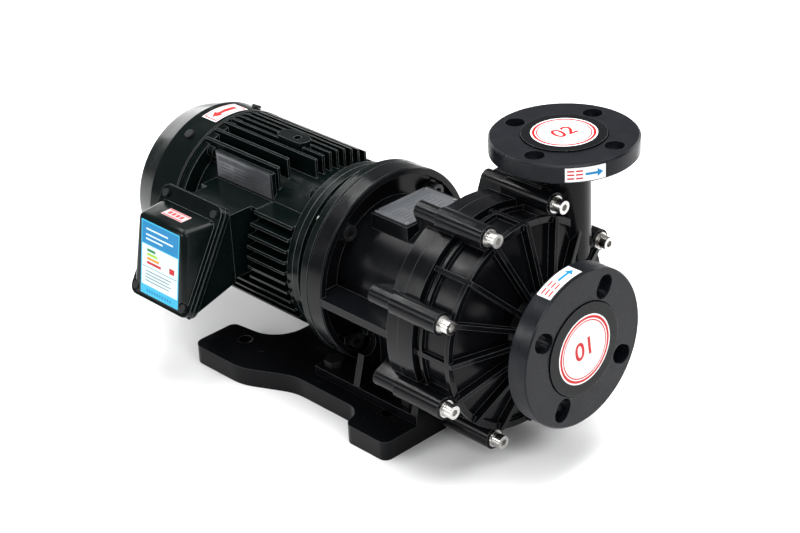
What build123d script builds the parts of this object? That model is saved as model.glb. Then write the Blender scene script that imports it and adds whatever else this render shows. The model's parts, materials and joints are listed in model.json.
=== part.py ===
from build123d import *
from math import cos, radians, sin
import os

os.makedirs("parts", exist_ok=True)

# A magnetically driven plastic process pump on a moulded base, with a flanged motor.
# The origin is the middle of the four foot holes, on the underside of the base.
# X runs along the shaft and out of the inlet, and Z is up. All sizes are millimetres.

# Base plate
shaft_height = 130
foot_spacing_x = 212
foot_spacing_y = 150
foot_hole_radius = 7.5
base_thickness = 20
base_skin = 6
base_wall = 7
base_rib = 4
base_front = 144.5
base_back = -141
base_half_width = 116
base_foot_step = 26
front_foot_back = 87
waist_end = -13
rear_leg_start = -66
notch_depth = 63
leg_inner_edge = 61
leg_draft = 7
base_cell_length = 42
base_cell_width = 46
base_bolt_hex = 17
base_bolt_head = 6.4

# Lantern bracket between pump and motor
split_x = 160
slab_thickness = 14
slab_radius = 107.5
barrel_length = 98.3
barrel_radius = 70
barrel_bore = 62
bracket_flange_thickness = 19.2
bracket_flange_radius = 100
bracket_flange_web = 9.5
bracket_flange_rim = 7
side_rib_thickness = 8
spot_face_radius = 11
gusset_half_width = 56
gusset_top = -40
flange_edge = 1.2
name_pad_top = 75
name_pad_length = 51
name_pad_width = 75
name_pad_start = 55
nameplate_thickness = 1
plate_margin = 3
rivet_radius = 1.6
rivet_height = 1
pedestal_width = 84
pedestal_start = 56
pedestal_end = 144
foot_pad_thickness = 9.5
foot_pad_start = 0
foot_pad_width = 146
base_bolt_xs = (12, 122)
base_bolt_y = 58
base_bolt_radius = 5

# Casing bolts
casing_bolt_count = 8
casing_bolt_circle = 114.4
casing_bolt_radius = 4
casing_bolt_length = 74
casing_boss_radius = 11
bracket_boss_radius = 9
bracket_boss_length = 28
insert_radius = 6.5
insert_length = 12
washer_thickness = 1.6
washer_radius = 8.5
spring_washer_thickness = 2.2
spring_washer_radius = 7
spring_washer_slit = 1.4
casing_head_radius = 6.5
casing_socket_radius = 3
casing_socket_depth = 4

# Front casing
casing_depth = 62
boss_depth = 58
rear_rim_depth = 19
rim_width = 5
rim_radius = 104
panel_radius = 99.5
front_rib_count = 16
front_rib_thickness = 4.5
cone_drop = 4
cone_outer_radius = 98
cone_inner_radius = 40
cone_rise = 17
neck_root = 7
rib_heel = 3
rib_sink = 4
hoop_rib_gap = 6
hoop_rib_thickness = 3
casing_web_depth = 18
rib_crest_radius = 44
neck_radius = 34.5
inlet_face_x = 292
inlet_bore = 25
collar_thickness = 10.5
inlet_collar_radius = 45.5
chamber_radius = 88
chamber_rear_depth = 14
chamber_front_depth = 52
outlet_x = 202
outlet_y = 75
outlet_face_z = 292
outlet_pipe_radius = 24.8
outlet_bore = 20
outlet_collar_radius = 40
outlet_hub_radius = 27.5
outlet_hub_height = 13
pipe_root = 20
port_depth = 70
throat_length = 60
throat_taper = 6
inlet_depth = 54
spider_bore_radius = 28
spider_arm_width = 5
chamber_cone = 11
liner_seat_wall = 5
shoulder_top = 119
shoulder_width = 16
shoulder_inset = 17
shoulder_foot = 90
shoulder_flat = 16
shoulder_tail = 8
shoulder_root = 70
web_root = 40
web_drop = 15

# Clearances shared by the pieces
hole_clearance = 0.4
washer_clearance = 0.3
seat_clearance = 0.02
face_clearance = 0.3
running_clearance = 0.05

# Loose flange rings
ring_clearance = 0.5
ring_chamfer = 1.5
collar_stand_out = 1.4
inlet_ring_radius = 77.5
inlet_ring_thickness = 21.5
inlet_slot_circle = 59.5
inlet_slot_width = 19
inlet_slot_length = 24
inlet_slot_angle = 61.5
outlet_ring_radius = 70
outlet_ring_thickness = 17.5
outlet_hole_circle = 52.5
outlet_hole_radius = 9.5
outlet_hole_angle = 11.6
flange_hole_count = 4

# Wet end
rear_flange_radius = 98
can_radius = 45
can_wall = 6
can_end_x = 87
can_edge = 4
groove_clearance = 0.1
oring_radius = 1.45
oring_circle = 93
pump_shaft_radius = 10
pump_shaft_chamfer = 0.8
spider_length = 14
spider_overlap = 2
spider_hub_radius = 14
spider_bore_depth = 10
socket_radius = 16
socket_length = 8
thrust_ring_thickness = 4
bush_radius = 15
bush_length = 40
bush_recess = 2
bush_wall = 3
impeller_radius = 65
impeller_back_x = 184
impeller_disc = 4
impeller_outlet_width = 9
impeller_shroud = 3.5
impeller_hub_radius = 30
impeller_nose_radius = 22
eye_radius = 30
eye_wall = 4
eye_front_x = 220
eye_length = 12
vane_count = 6
vane_thickness = 3
vane_sweep = 60
vane_bow = 12
vane_root = 18
inner_magnet_radius = 37.5
inner_magnet_length = 56
magnet_chamfer = 2
mouth_ring_wall = 3
liner_ring_wall = 4
liner_ring_length = 8
running_gap = 0.5

# Magnetic drive
drive_magnet_inner = 47
drive_magnet_thickness = 6
drive_magnet_length = 52
drive_magnet_count = 8
drive_magnet_gap = 1
yoke_wall = 6
yoke_disc = 11
yoke_hub_radius = 20
yoke_hub_length = 42
yoke_front_x = 150
yoke_lip = 3
magnet_stop = 1
key_end_gap = 4
key_top_gap = 0.2

# Motor
motor_flange_radius = 100
motor_flange_thickness = 10.6
spigot_radius = 65
spigot_height = 3.5
flange_bolt_circle = 82.5
flange_bolt_radius = 5
flange_bolt_length = 32
flange_washer_thickness = 2
endshield_neck_radius = 71
endshield_neck_length = 9
endshield_rim_radius = 88
endshield_rim_x = 2
bearing_seat_wall = 6
shaft_hole_gap = 1
flange_nut_pocket = 10.5
flange_nut_across = 16
flange_nut_height = 8
flange_head_radius = 8
flange_socket_radius = 4
flange_socket_depth = 5
flange_washer_radius = 10
frame_front_x = -6
frame_back_x = -186
frame_radius = 72
stator_radius = 68
fin_radius = 92
fin_thickness = 2.6
top_fin_pitch = 9.3
side_fin_pitch = 11
top_fin_front = -45
side_fin_front = -14
short_fin_front = -72
fin_root = 46
terminal_low = -18
frame_ring_length = 8
box_neck_inset = 12
box_neck_bottom = -20
box_neck_top = 50
box_neck_root = -60
badge_inset = 5
badge_pad_inset = 3
badge_bottom = 52
badge_top = 78
ledge_depth = 22
ledge_thickness = 4
lifting_pad_length = 41
lifting_pad_width = 18
lifting_pad_offset = 22.5
lifting_hole_offset = 27
lifting_hole_radius = 4
lifting_hole_depth = 14
lug_angles = (61, 119, 241, 299)
endshield_screw_edge = 10.6
endshield_screw_radius = 3
endshield_head_radius = 5
endshield_head_height = 4
endshield_lug_radius = 6.5
screw_thread_length = 12
screw_hole_length = 14
lug_length = 16
rear_endshield_thickness = 12
cover_fit = 0.4
bearing_outer = 26
bearing_inner = 12.5
bearing_width = 15
shaft_body_radius = 15
shaft_end_radius = 12
shaft_end_length = 50
shaft_tail_radius = 10
rotor_radius = 46.5
rotor_front_x = -50
rotor_length = 90
air_gap = 0.5
winding_length = 22
winding_gap = 3
winding_draft = 3
end_ring_length = 8
end_ring_depth = 11
key_width = 8
key_height = 7
key_length = 32
key_depth = 4
fan_radius = 76
fan_hub_radius = 18
fan_disc = 3
fan_back_x = -233
fan_width = 28
fan_blade_count = 7
fan_blade_thickness = 2.5
cover_outer_radius = 92.4
cover_sheet = 1.4
cover_shoulder_x = -222.6
cover_cone_x = -252.6
cover_cone_radius = 83
cover_back_x = -258
cover_screw_x = -205
cover_screw_radius = 2.5
cover_screw_grip = 6
cover_lug_depth = 12
cover_lug_gap = 1
cover_lug_length = 14
grille_pitch = 12
grille_slot = 7
grille_start = 17
grille_rings = 5
nameplate_y = -50
lifting_pad_top = 97

# Terminal box on the motor's side
box_x = -115
box_y = -138.5
box_z = 15
box_tilt = 30
box_back_y = -106
box_back_low = -18
box_corner = 10
box_width = 92
box_height = 115
box_wall = 4
box_rim = 5
gasket_thickness = 1.2
cover_rim = 4.5
cover_top = 54
screw_inset = 9
box_side_inset = 3
box_screw_radius = 2
box_screw_head = 4
box_screw_length = 16
box_screw_hole = 14
screw_well_radius = 5.5
cover_hip = 12
cover_low_lift = 5
cover_nose = 158
cover_taper = 19
cover_side_inset = 4
cover_wall = 3
cover_depth = 45
cover_edge = 3
board_thickness = 8
board_width = 54
board_height = 40
board_z = 12
stud_radius = 2.5
stud_length = 9
stud_nut_height = 4
stud_pitch_x = 17
stud_pitch_z = 18
gland_y = -122
gland_z = -2
gland_hex = 26
gland_hex_height = 6
gland_nut_radius = 12
gland_nut_length = 14
gland_bore_radius = 5

# Sizes that follow
slab_back_x = split_x - slab_thickness
bracket_front_x = slab_back_x - barrel_length
motor_face_x = bracket_front_x - bracket_flange_thickness
flange_back_x = motor_face_x - motor_flange_thickness
casing_front_x = split_x + casing_depth
boss_face_x = split_x + boss_depth
first_bolt_angle = 180 / casing_bolt_count
head_face_x = boss_face_x + washer_thickness + spring_washer_thickness
chamber_back_x = split_x + chamber_rear_depth
chamber_front_x = split_x + chamber_front_depth
inlet_collar_x = inlet_face_x - collar_thickness
outlet_collar_z = outlet_face_z - collar_thickness
cover_back_wall_x = cover_back_x + cover_sheet
base_waist = base_half_width - base_foot_step
sleeve_inner = cover_outer_radius - cover_sheet
rear_endshield_radius = sleeve_inner - cover_fit
endshield_screw_circle = rear_endshield_radius - endshield_screw_edge
cover_lug_circle = sleeve_inner - cover_lug_gap - cover_lug_depth / 2
shaft_axis = Axis((0, 0, shaft_height), (1, 0, 0))


def shaft_plane(x):
    """The plane across the shaft at x, with its own x along Y and its y up."""
    return Plane(origin=(x, 0, shaft_height), x_dir=(0, 1, 0), z_dir=(1, 0, 0))


def radial_plane(angle):
    """The plane through the shaft axis whose y points out at an angle from Y toward Z."""
    normal = (0, -sin(radians(angle)), cos(radians(angle)))
    return Plane(origin=(0, 0, shaft_height), x_dir=(1, 0, 0), z_dir=normal)


def turned(outline, mode=Mode.ADD):
    """Turn a closed outline of (x, radius) points about the shaft axis."""
    with BuildSketch(radial_plane(90)) as profile:
        with BuildLine():
            Polyline(outline, close=True)
        make_face()
    revolve(profile.sketch, axis=shaft_axis, mode=mode)


def rod(start_x, end_x, radius, mode=Mode.ADD):
    """A round bar or hole along the shaft axis."""
    with BuildSketch(shaft_plane(start_x)) as section:
        Circle(radius)
    extrude(section.sketch, amount=end_x - start_x, mode=mode)


def tube(start_x, end_x, outer, inner):
    """A plain ring along the shaft axis."""
    with BuildSketch(shaft_plane(start_x)) as section:
        Circle(outer)
        Circle(inner, mode=Mode.SUBTRACT)
    extrude(section.sketch, amount=end_x - start_x)


def ring_of_rods(start_x, end_x, radius, circle, count, first_angle, mode=Mode.ADD):
    """Round bars or holes parallel to the shaft, spaced evenly on a circle."""
    with BuildSketch(shaft_plane(start_x)) as section:
        with PolarLocations(circle, count, start_angle=first_angle):
            Circle(radius)
    extrude(section.sketch, amount=end_x - start_x, mode=mode)


def rods_at(start_x, end_x, radius, circle, angles, mode=Mode.ADD):
    """Round bars or holes parallel to the shaft at given angles."""
    centres = [(circle * cos(radians(a)), circle * sin(radians(a))) for a in angles]
    with BuildSketch(shaft_plane(start_x)) as section:
        with Locations(*centres):
            Circle(radius)
    extrude(section.sketch, amount=end_x - start_x, mode=mode)


def block(start, end, mode=Mode.ADD):
    """A box between two corners given as (x, y, z above the shaft axis)."""
    size = [end[i] - start[i] for i in range(3)]
    middle = [(end[i] + start[i]) / 2 for i in range(3)]
    base = Plane((middle[0], middle[1], shaft_height + start[2]))
    with BuildSketch(base) as section:
        Rectangle(size[0], size[1])
    extrude(section.sketch, amount=size[2], mode=mode)


def cone_x(radius):
    """Where the outside of the casing's front cone stands at a radius."""
    slope = cone_rise / (cone_outer_radius - cone_inner_radius)
    return casing_front_x - cone_drop + (cone_outer_radius - radius) * slope


# Base plate
base_outline = [
    (base_front, 0),
    (base_front, base_half_width),
    (front_foot_back, base_half_width),
    (front_foot_back, base_waist),
    (waist_end, base_waist),
    (rear_leg_start, base_half_width),
    (base_back, base_half_width),
    (base_back, leg_inner_edge),
    (base_back + notch_depth, leg_inner_edge - leg_draft),
    (base_back + notch_depth, 0),
]
base_corner_radii = [8, 10, 20, 60, 60, 12, 8, 36]

with BuildPart() as base_plate:
    with BuildSketch() as base_shape:
        with BuildLine():
            FilletPolyline(base_outline, radius=base_corner_radii)
            mirror(about=Plane.XZ)
        make_face()
    extrude(amount=base_thickness)
    with BuildSketch() as base_cells:
        offset(base_shape.sketch, amount=-base_wall)
        with GridLocations(0, base_cell_width, 1, 5):
            Rectangle(2 * base_front, base_rib, mode=Mode.SUBTRACT)
        with GridLocations(base_cell_length, 0, 7, 1):
            Rectangle(base_rib, 2 * base_half_width, mode=Mode.SUBTRACT)
        with GridLocations(foot_spacing_x, foot_spacing_y, 2, 2):
            Circle(foot_hole_radius + base_wall, mode=Mode.SUBTRACT)
        with Locations(*[(x, y) for x in base_bolt_xs for y in (-base_bolt_y, base_bolt_y)]):
            Circle(base_bolt_radius + base_wall, mode=Mode.SUBTRACT)
    extrude(amount=base_thickness - base_skin, mode=Mode.SUBTRACT)
    with BuildSketch() as foot_holes:
        with GridLocations(foot_spacing_x, foot_spacing_y, 2, 2):
            Circle(foot_hole_radius)
    extrude(amount=base_thickness, mode=Mode.SUBTRACT)
    with BuildSketch(Plane.XY.offset(base_skin)) as bolt_holes:
        with Locations(*[(x, y) for x in base_bolt_xs for y in (-base_bolt_y, base_bolt_y)]):
            Circle(base_bolt_radius)
    extrude(amount=base_thickness, mode=Mode.SUBTRACT)
base_plate.part.label = "base_plate"
export_step(base_plate.part, "parts/base_plate.step")

# Bracket
pad_top_z = base_thickness + foot_pad_thickness - shaft_height
pad_bottom_z = base_thickness - shaft_height
bolt_angles = [first_bolt_angle + 360 / casing_bolt_count * i for i in range(casing_bolt_count)]
long_boss_angles = [angle for angle in bolt_angles if sin(radians(angle)) > -0.9]
with BuildPart() as bracket:
    rod(motor_face_x, bracket_front_x, bracket_flange_radius)
    chamfer(bracket.edges(), flange_edge)
    rod(bracket_front_x, slab_back_x, barrel_radius)
    rod(slab_back_x, split_x, slab_radius)
    block((bracket_front_x, -bracket_flange_radius, -side_rib_thickness / 2),
          (slab_back_x, bracket_flange_radius, side_rib_thickness / 2))
    block((name_pad_start, -name_pad_width / 2, 0),
          (name_pad_start + name_pad_length, name_pad_width / 2, name_pad_top))
    block((foot_pad_start, -foot_pad_width / 2, pad_bottom_z),
          (pedestal_end, foot_pad_width / 2, pad_top_z))
    block((pedestal_start, -pedestal_width / 2, pad_bottom_z),
          (pedestal_end, pedestal_width / 2, 0))
    for gusset_x in (pedestal_start, pedestal_end - side_rib_thickness):
        with BuildSketch(shaft_plane(gusset_x)) as gusset:
            with BuildLine():
                Polyline((-foot_pad_width / 2, pad_top_z), (-gusset_half_width, gusset_top),
                         (gusset_half_width, gusset_top), (foot_pad_width / 2, pad_top_z), close=True)
            make_face()
        extrude(amount=side_rib_thickness)
    rods_at(split_x - bracket_boss_length, split_x, bracket_boss_radius, casing_bolt_circle, long_boss_angles)
    for angle in long_boss_angles:
        with BuildSketch(shaft_plane(split_x - bracket_boss_length)) as boss_web:
            with Locations(Location((0, 0), angle)):
                with Locations(((casing_bolt_circle + barrel_bore) / 2, 0)):
                    Rectangle(casing_bolt_circle - barrel_bore, 2 * bracket_boss_radius)
        extrude(amount=bracket_boss_length)
    with BuildSketch(shaft_plane(slab_back_x)) as boss_ends:
        with PolarLocations(casing_bolt_circle - bracket_boss_radius, casing_bolt_count,
                            start_angle=first_bolt_angle):
            Rectangle(2 * bracket_boss_radius, 2 * bracket_boss_radius)
        with PolarLocations(casing_bolt_circle, casing_bolt_count, start_angle=first_bolt_angle):
            Circle(bracket_boss_radius)
    extrude(amount=slab_thickness)
    with BuildSketch(Plane.XZ.offset(-outlet_y + shoulder_inset)) as shoulder:
        with BuildLine():
            Polyline((split_x, shaft_height + shoulder_foot), (split_x, shaft_height + shoulder_top),
                     (split_x - shoulder_flat, shaft_height + shoulder_top),
                     (split_x - bracket_boss_length - shoulder_tail, shaft_height + shoulder_foot + 6),
                     (split_x - bracket_boss_length - shoulder_tail, shaft_height + shoulder_foot),
                     close=True)
        make_face()
    extrude(amount=shoulder_width)
    rod(motor_face_x, split_x, barrel_bore, mode=Mode.SUBTRACT)
    rod(motor_face_x, motor_face_x + spigot_height, spigot_radius, mode=Mode.SUBTRACT)
    with BuildSketch(shaft_plane(motor_face_x + bracket_flange_web)) as dish:
        Circle(bracket_flange_radius - bracket_flange_rim)
        Circle(barrel_radius, mode=Mode.SUBTRACT)
        Rectangle(2 * bracket_flange_radius, side_rib_thickness, mode=Mode.SUBTRACT)
        with Locations((0, -bracket_flange_radius)):
            Rectangle(foot_pad_width, bracket_flange_radius, mode=Mode.SUBTRACT)
    extrude(amount=bracket_flange_thickness, mode=Mode.SUBTRACT)
    ring_of_rods(motor_face_x, motor_face_x + 2 * bracket_flange_thickness,
                 flange_bolt_radius + hole_clearance, flange_bolt_circle, 4, 45, mode=Mode.SUBTRACT)
    ring_of_rods(motor_face_x + bracket_flange_web, motor_face_x + 2 * bracket_flange_thickness,
                 spot_face_radius, flange_bolt_circle, 4, 45, mode=Mode.SUBTRACT)
    ring_of_rods(split_x - casing_bolt_length, split_x, casing_bolt_radius + hole_clearance,
                 casing_bolt_circle, casing_bolt_count, first_bolt_angle, mode=Mode.SUBTRACT)
    ring_of_rods(split_x - insert_length, split_x, insert_radius,
                 casing_bolt_circle, casing_bolt_count, first_bolt_angle, mode=Mode.SUBTRACT)
    with BuildSketch(Plane.XY.offset(base_thickness)) as bracket_bolt_holes:
        with Locations(*[(x, y) for x in base_bolt_xs for y in (-base_bolt_y, base_bolt_y)]):
            Circle(base_bolt_radius + hole_clearance)
    extrude(amount=foot_pad_thickness, mode=Mode.SUBTRACT)
bracket.part.label = "bracket"
export_step(bracket.part, "parts/bracket.step")

# Bolts that hold the bracket to the base, screwed into the base's bosses
foot_pad_top = base_thickness + foot_pad_thickness
with BuildPart() as base_bolts:
    with BuildSketch(Plane.XY.offset(foot_pad_top)) as bolt_heads:
        with Locations(*[(x, y) for x in base_bolt_xs for y in (-base_bolt_y, base_bolt_y)]):
            RegularPolygon(base_bolt_hex / 2, 6, major_radius=False)
    extrude(amount=base_bolt_head)
    with BuildSketch(Plane.XY.offset(base_skin + face_clearance)) as bolt_shanks:
        with Locations(*[(x, y) for x in base_bolt_xs for y in (-base_bolt_y, base_bolt_y)]):
            Circle(base_bolt_radius - running_clearance)
    extrude(amount=foot_pad_top - base_skin - face_clearance)
base_bolts.part.label = "base_bolts"
export_step(base_bolts.part, "parts/base_bolts.step")

# Name plate on the bracket, with its rivets
plate_middle_x = name_pad_start + name_pad_length / 2
plate_z = shaft_height + name_pad_top
with BuildPart() as bracket_nameplate:
    with BuildSketch(Plane((plate_middle_x, 0, plate_z))):
        RectangleRounded(name_pad_length - 2 * plate_margin, name_pad_width - 2 * plate_margin, 2)
    extrude(amount=nameplate_thickness)
bracket_nameplate.part.label = "bracket_nameplate"
export_step(bracket_nameplate.part, "parts/bracket_nameplate.step")

with BuildPart() as nameplate_rivets:
    with BuildSketch(Plane((plate_middle_x, 0, plate_z + nameplate_thickness))):
        with GridLocations(name_pad_length - 4 * plate_margin, name_pad_width - 4 * plate_margin, 2, 2):
            Circle(rivet_radius)
    extrude(amount=rivet_height)
nameplate_rivets.part.label = "nameplate_rivets"
export_step(nameplate_rivets.part, "parts/nameplate_rivets.step")

# Front casing: chamber, suction neck and discharge pipe in one moulding
cone_foot = (cone_x(cone_outer_radius), cone_outer_radius)
cone_top = (cone_x(cone_inner_radius), cone_inner_radius)
wall_front = chamber_front_x + chamber_cone
liner_seat = mouth_ring_wall + liner_ring_wall + eye_radius + eye_wall + running_gap
liner_back = eye_front_x - liner_ring_length / 2
liner_front = liner_back + liner_ring_length
spider_x = liner_front - spider_overlap
with BuildPart() as front_casing:
    turned([(split_x, 0), (split_x, slab_radius), (split_x + rear_rim_depth, slab_radius),
            (split_x + rear_rim_depth, panel_radius), (casing_front_x - rim_width, panel_radius),
            (casing_front_x - rim_width, rim_radius), (casing_front_x, rim_radius),
            (casing_front_x, cone_outer_radius), cone_foot, cone_top,
            (cone_top[0] + neck_root, neck_radius), (inlet_collar_x, neck_radius),
            (inlet_collar_x, inlet_collar_radius), (inlet_face_x, inlet_collar_radius),
            (inlet_face_x, 0)])
    rib_step = 360 / front_rib_count
    for rib in range(front_rib_count):
        with BuildSketch(radial_plane(rib * rib_step)) as front_rib:
            with BuildLine():
                Polyline((casing_front_x - rim_width, panel_radius - 2),
                         (casing_front_x - rim_width, rim_radius),
                         (casing_front_x + rib_heel, rim_radius),
                         (cone_top[0] + neck_root, rib_crest_radius),
                         (cone_top[0] + neck_root, neck_radius - 1),
                         (cone_top[0] - rib_sink, neck_radius - 1), close=True)
            make_face()
        extrude(amount=front_rib_thickness / 2, both=True)
    with BuildSketch(shaft_plane(split_x + rear_rim_depth)) as side_ribs:
        with PolarLocations((panel_radius + rim_radius) / 2 - 1, front_rib_count):
            Rectangle(rim_radius - panel_radius + 2, front_rib_thickness)
    extrude(amount=casing_depth - rear_rim_depth - rim_width / 2)
    hoop_rib_x = split_x + rear_rim_depth + hoop_rib_gap
    tube(hoop_rib_x, hoop_rib_x + hoop_rib_thickness, rim_radius, panel_radius - 1)
    ring_of_rods(split_x, boss_face_x, casing_boss_radius, casing_bolt_circle,
                 casing_bolt_count, first_bolt_angle)
    with BuildSketch(shaft_plane(split_x)) as casing_webs:
        with PolarLocations(casing_bolt_circle - casing_web_depth / 2, casing_bolt_count,
                            start_angle=first_bolt_angle):
            Rectangle(casing_web_depth, casing_boss_radius)
    extrude(amount=boss_depth)
    with BuildSketch(Plane((outlet_x, outlet_y, shaft_height + pipe_root))) as pipe:
        Circle(outlet_pipe_radius)
    extrude(amount=outlet_face_z - shaft_height - pipe_root - collar_thickness)
    with BuildSketch(Plane((outlet_x, outlet_y, outlet_collar_z))) as outlet_collar:
        Circle(outlet_collar_radius)
    extrude(amount=collar_thickness)
    hub_top_z = outlet_face_z - collar_stand_out - outlet_ring_thickness - face_clearance
    with BuildSketch(Plane((outlet_x, outlet_y, hub_top_z - outlet_hub_height))) as outlet_hub:
        Circle(outlet_hub_radius)
    extrude(amount=outlet_hub_height)
    shoulder_y = outlet_y - shoulder_inset - shoulder_width
    block((split_x, shoulder_y, shoulder_root), (outlet_x, shoulder_y + shoulder_width, shoulder_top))
    block((split_x, shoulder_y, web_root), (outlet_x - rib_sink, outlet_y, shoulder_top - web_drop))
    turned([(split_x, 0), (split_x, rear_flange_radius + face_clearance),
            (chamber_back_x, rear_flange_radius + face_clearance), (chamber_back_x, chamber_radius),
            (chamber_front_x, chamber_radius), (wall_front, liner_seat + liner_seat_wall),
            (liner_back, liner_seat + liner_seat_wall), (liner_back, liner_seat),
            (liner_front, liner_seat), (liner_front, spider_bore_radius),
            (inlet_face_x - inlet_depth, spider_bore_radius), (inlet_face_x - inlet_depth, inlet_bore),
            (inlet_face_x, inlet_bore), (inlet_face_x, 0)], mode=Mode.SUBTRACT)
    with BuildSketch(Plane((outlet_x, outlet_y, outlet_face_z))) as outlet_port:
        Circle(outlet_bore)
    extrude(amount=-port_depth, mode=Mode.SUBTRACT)
    with BuildSketch(Plane((outlet_x, outlet_y, outlet_face_z - port_depth))) as throat:
        Circle(outlet_bore)
    extrude(amount=-throat_length, taper=throat_taper, mode=Mode.SUBTRACT)
    rod(spider_x, spider_x + spider_length, spider_hub_radius)
    with BuildSketch(shaft_plane(liner_front)) as spider:
        with PolarLocations(spider_bore_radius / 2 + 1, 3, start_angle=90):
            Rectangle(spider_bore_radius + 2, spider_arm_width)
    extrude(amount=spider_x + spider_length - liner_front)
    rod(spider_x, spider_x + spider_bore_depth, pump_shaft_radius + running_clearance,
        mode=Mode.SUBTRACT)
    ring_of_rods(split_x, boss_face_x, casing_bolt_radius + hole_clearance, casing_bolt_circle,
                 casing_bolt_count, first_bolt_angle, mode=Mode.SUBTRACT)
front_casing.part.label = "front_casing"
export_step(front_casing.part, "parts/front_casing.step")

# Loose flange rings, held on the casing's stub collars
inlet_ring_front = inlet_face_x - collar_stand_out
with BuildPart() as inlet_flange:
    turned([(inlet_ring_front - inlet_ring_thickness, neck_radius + ring_clearance),
            (inlet_ring_front - inlet_ring_thickness, inlet_ring_radius - ring_chamfer),
            (inlet_ring_front - inlet_ring_thickness + ring_chamfer, inlet_ring_radius),
            (inlet_ring_front - ring_chamfer, inlet_ring_radius),
            (inlet_ring_front, inlet_ring_radius - ring_chamfer),
            (inlet_ring_front, inlet_collar_radius + 2 * ring_clearance),
            (inlet_collar_x - face_clearance, inlet_collar_radius + 2 * ring_clearance),
            (inlet_collar_x - face_clearance, neck_radius + ring_clearance)])
    with BuildSketch(shaft_plane(inlet_ring_front)) as slots:
        with PolarLocations(inlet_slot_circle, flange_hole_count, start_angle=inlet_slot_angle):
            SlotOverall(inlet_slot_length, inlet_slot_width)
    extrude(amount=-inlet_ring_thickness, mode=Mode.SUBTRACT)
inlet_flange.part.label = "inlet_flange"
export_step(inlet_flange.part, "parts/inlet_flange.step")

outlet_ring_top = outlet_face_z - collar_stand_out
with BuildPart() as outlet_flange:
    with BuildSketch(Plane((outlet_x, outlet_y, outlet_ring_top - outlet_ring_thickness))) as disc:
        Circle(outlet_ring_radius)
    extrude(amount=outlet_ring_thickness)
    chamfer(outlet_flange.edges(), ring_chamfer)
    with BuildSketch(Plane((outlet_x, outlet_y, outlet_ring_top - outlet_ring_thickness))) as holes:
        Circle(outlet_pipe_radius + ring_clearance)
        with PolarLocations(outlet_hole_circle, flange_hole_count, start_angle=outlet_hole_angle):
            Circle(outlet_hole_radius)
    extrude(amount=outlet_ring_thickness, mode=Mode.SUBTRACT)
    with BuildSketch(Plane((outlet_x, outlet_y, outlet_collar_z - face_clearance))) as recess:
        Circle(outlet_collar_radius + 2 * ring_clearance)
    extrude(amount=collar_thickness, mode=Mode.SUBTRACT)
outlet_flange.part.label = "outlet_flange"
export_step(outlet_flange.part, "parts/outlet_flange.step")

# Casing screws with their washers and the threaded inserts
with BuildPart() as casing_washers:
    with BuildSketch(shaft_plane(boss_face_x)):
        with PolarLocations(casing_bolt_circle, casing_bolt_count, start_angle=first_bolt_angle):
            Circle(washer_radius)
            Circle(casing_bolt_radius + washer_clearance, mode=Mode.SUBTRACT)
    extrude(amount=washer_thickness)
casing_washers.part.label = "casing_washers"
export_step(casing_washers.part, "parts/casing_washers.step")

with BuildPart() as casing_spring_washers:
    with BuildSketch(shaft_plane(boss_face_x + washer_thickness)):
        with PolarLocations(casing_bolt_circle, casing_bolt_count, start_angle=first_bolt_angle):
            Circle(spring_washer_radius)
            Circle(casing_bolt_radius + washer_clearance, mode=Mode.SUBTRACT)
            with Locations((spring_washer_radius, 0)):
                Rectangle(spring_washer_radius, spring_washer_slit, mode=Mode.SUBTRACT)
    extrude(amount=spring_washer_thickness)
casing_spring_washers.part.label = "casing_spring_washers"
export_step(casing_spring_washers.part, "parts/casing_spring_washers.step")

cap_head = 2 * casing_bolt_radius
with BuildPart() as casing_bolts:
    ring_of_rods(head_face_x - casing_bolt_length, head_face_x, casing_bolt_radius - running_clearance,
                 casing_bolt_circle, casing_bolt_count, first_bolt_angle)
    ring_of_rods(head_face_x, head_face_x + cap_head, casing_head_radius, casing_bolt_circle,
                 casing_bolt_count, first_bolt_angle)
    with BuildSketch(shaft_plane(head_face_x + cap_head)) as sockets:
        with PolarLocations(casing_bolt_circle, casing_bolt_count, start_angle=first_bolt_angle):
            RegularPolygon(casing_socket_radius, 6, major_radius=False)
    extrude(amount=-casing_socket_depth, mode=Mode.SUBTRACT)
casing_bolts.part.label = "casing_bolts"
export_step(casing_bolts.part, "parts/casing_bolts.step")

with BuildPart() as boss_inserts:
    with BuildSketch(shaft_plane(split_x - insert_length)):
        with PolarLocations(casing_bolt_circle, casing_bolt_count, start_angle=first_bolt_angle):
            Circle(insert_radius - running_clearance)
            Circle(casing_bolt_radius, mode=Mode.SUBTRACT)
    extrude(amount=insert_length - face_clearance)
boss_inserts.part.label = "boss_inserts"
export_step(boss_inserts.part, "parts/boss_inserts.step")

# Rear casing: the closed can between the two sets of magnets
can_front = chamber_back_x
with BuildPart() as rear_casing:
    turned([(split_x, can_radius - can_wall), (can_end_x + can_wall, can_radius - can_wall),
            (can_end_x + can_wall, socket_radius), (can_end_x + can_wall + socket_length, socket_radius),
            (can_end_x + can_wall + socket_length, pump_shaft_radius + running_clearance),
            (can_end_x + can_wall, pump_shaft_radius + running_clearance),
            (can_end_x + can_wall, 0), (can_end_x, 0), (can_end_x, can_radius - can_edge),
            (can_end_x + can_edge, can_radius), (split_x, can_radius), (split_x, rear_flange_radius),
            (can_front, rear_flange_radius), (can_front, oring_circle + oring_radius + groove_clearance),
            (can_front - 2 * oring_radius, oring_circle + oring_radius + groove_clearance),
            (can_front - 2 * oring_radius, oring_circle - oring_radius - groove_clearance),
            (can_front, oring_circle - oring_radius - groove_clearance), (can_front, can_radius - can_wall)])
rear_casing.part.label = "rear_casing"
export_step(rear_casing.part, "parts/rear_casing.step")

with BuildPart() as casing_oring:
    with BuildSketch(radial_plane(90)) as ring_section:
        with Locations((can_front - oring_radius, oring_circle)):
            Circle(oring_radius)
    revolve(axis=shaft_axis)
casing_oring.part.label = "casing_oring"
export_step(casing_oring.part, "parts/casing_oring.step")

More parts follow.
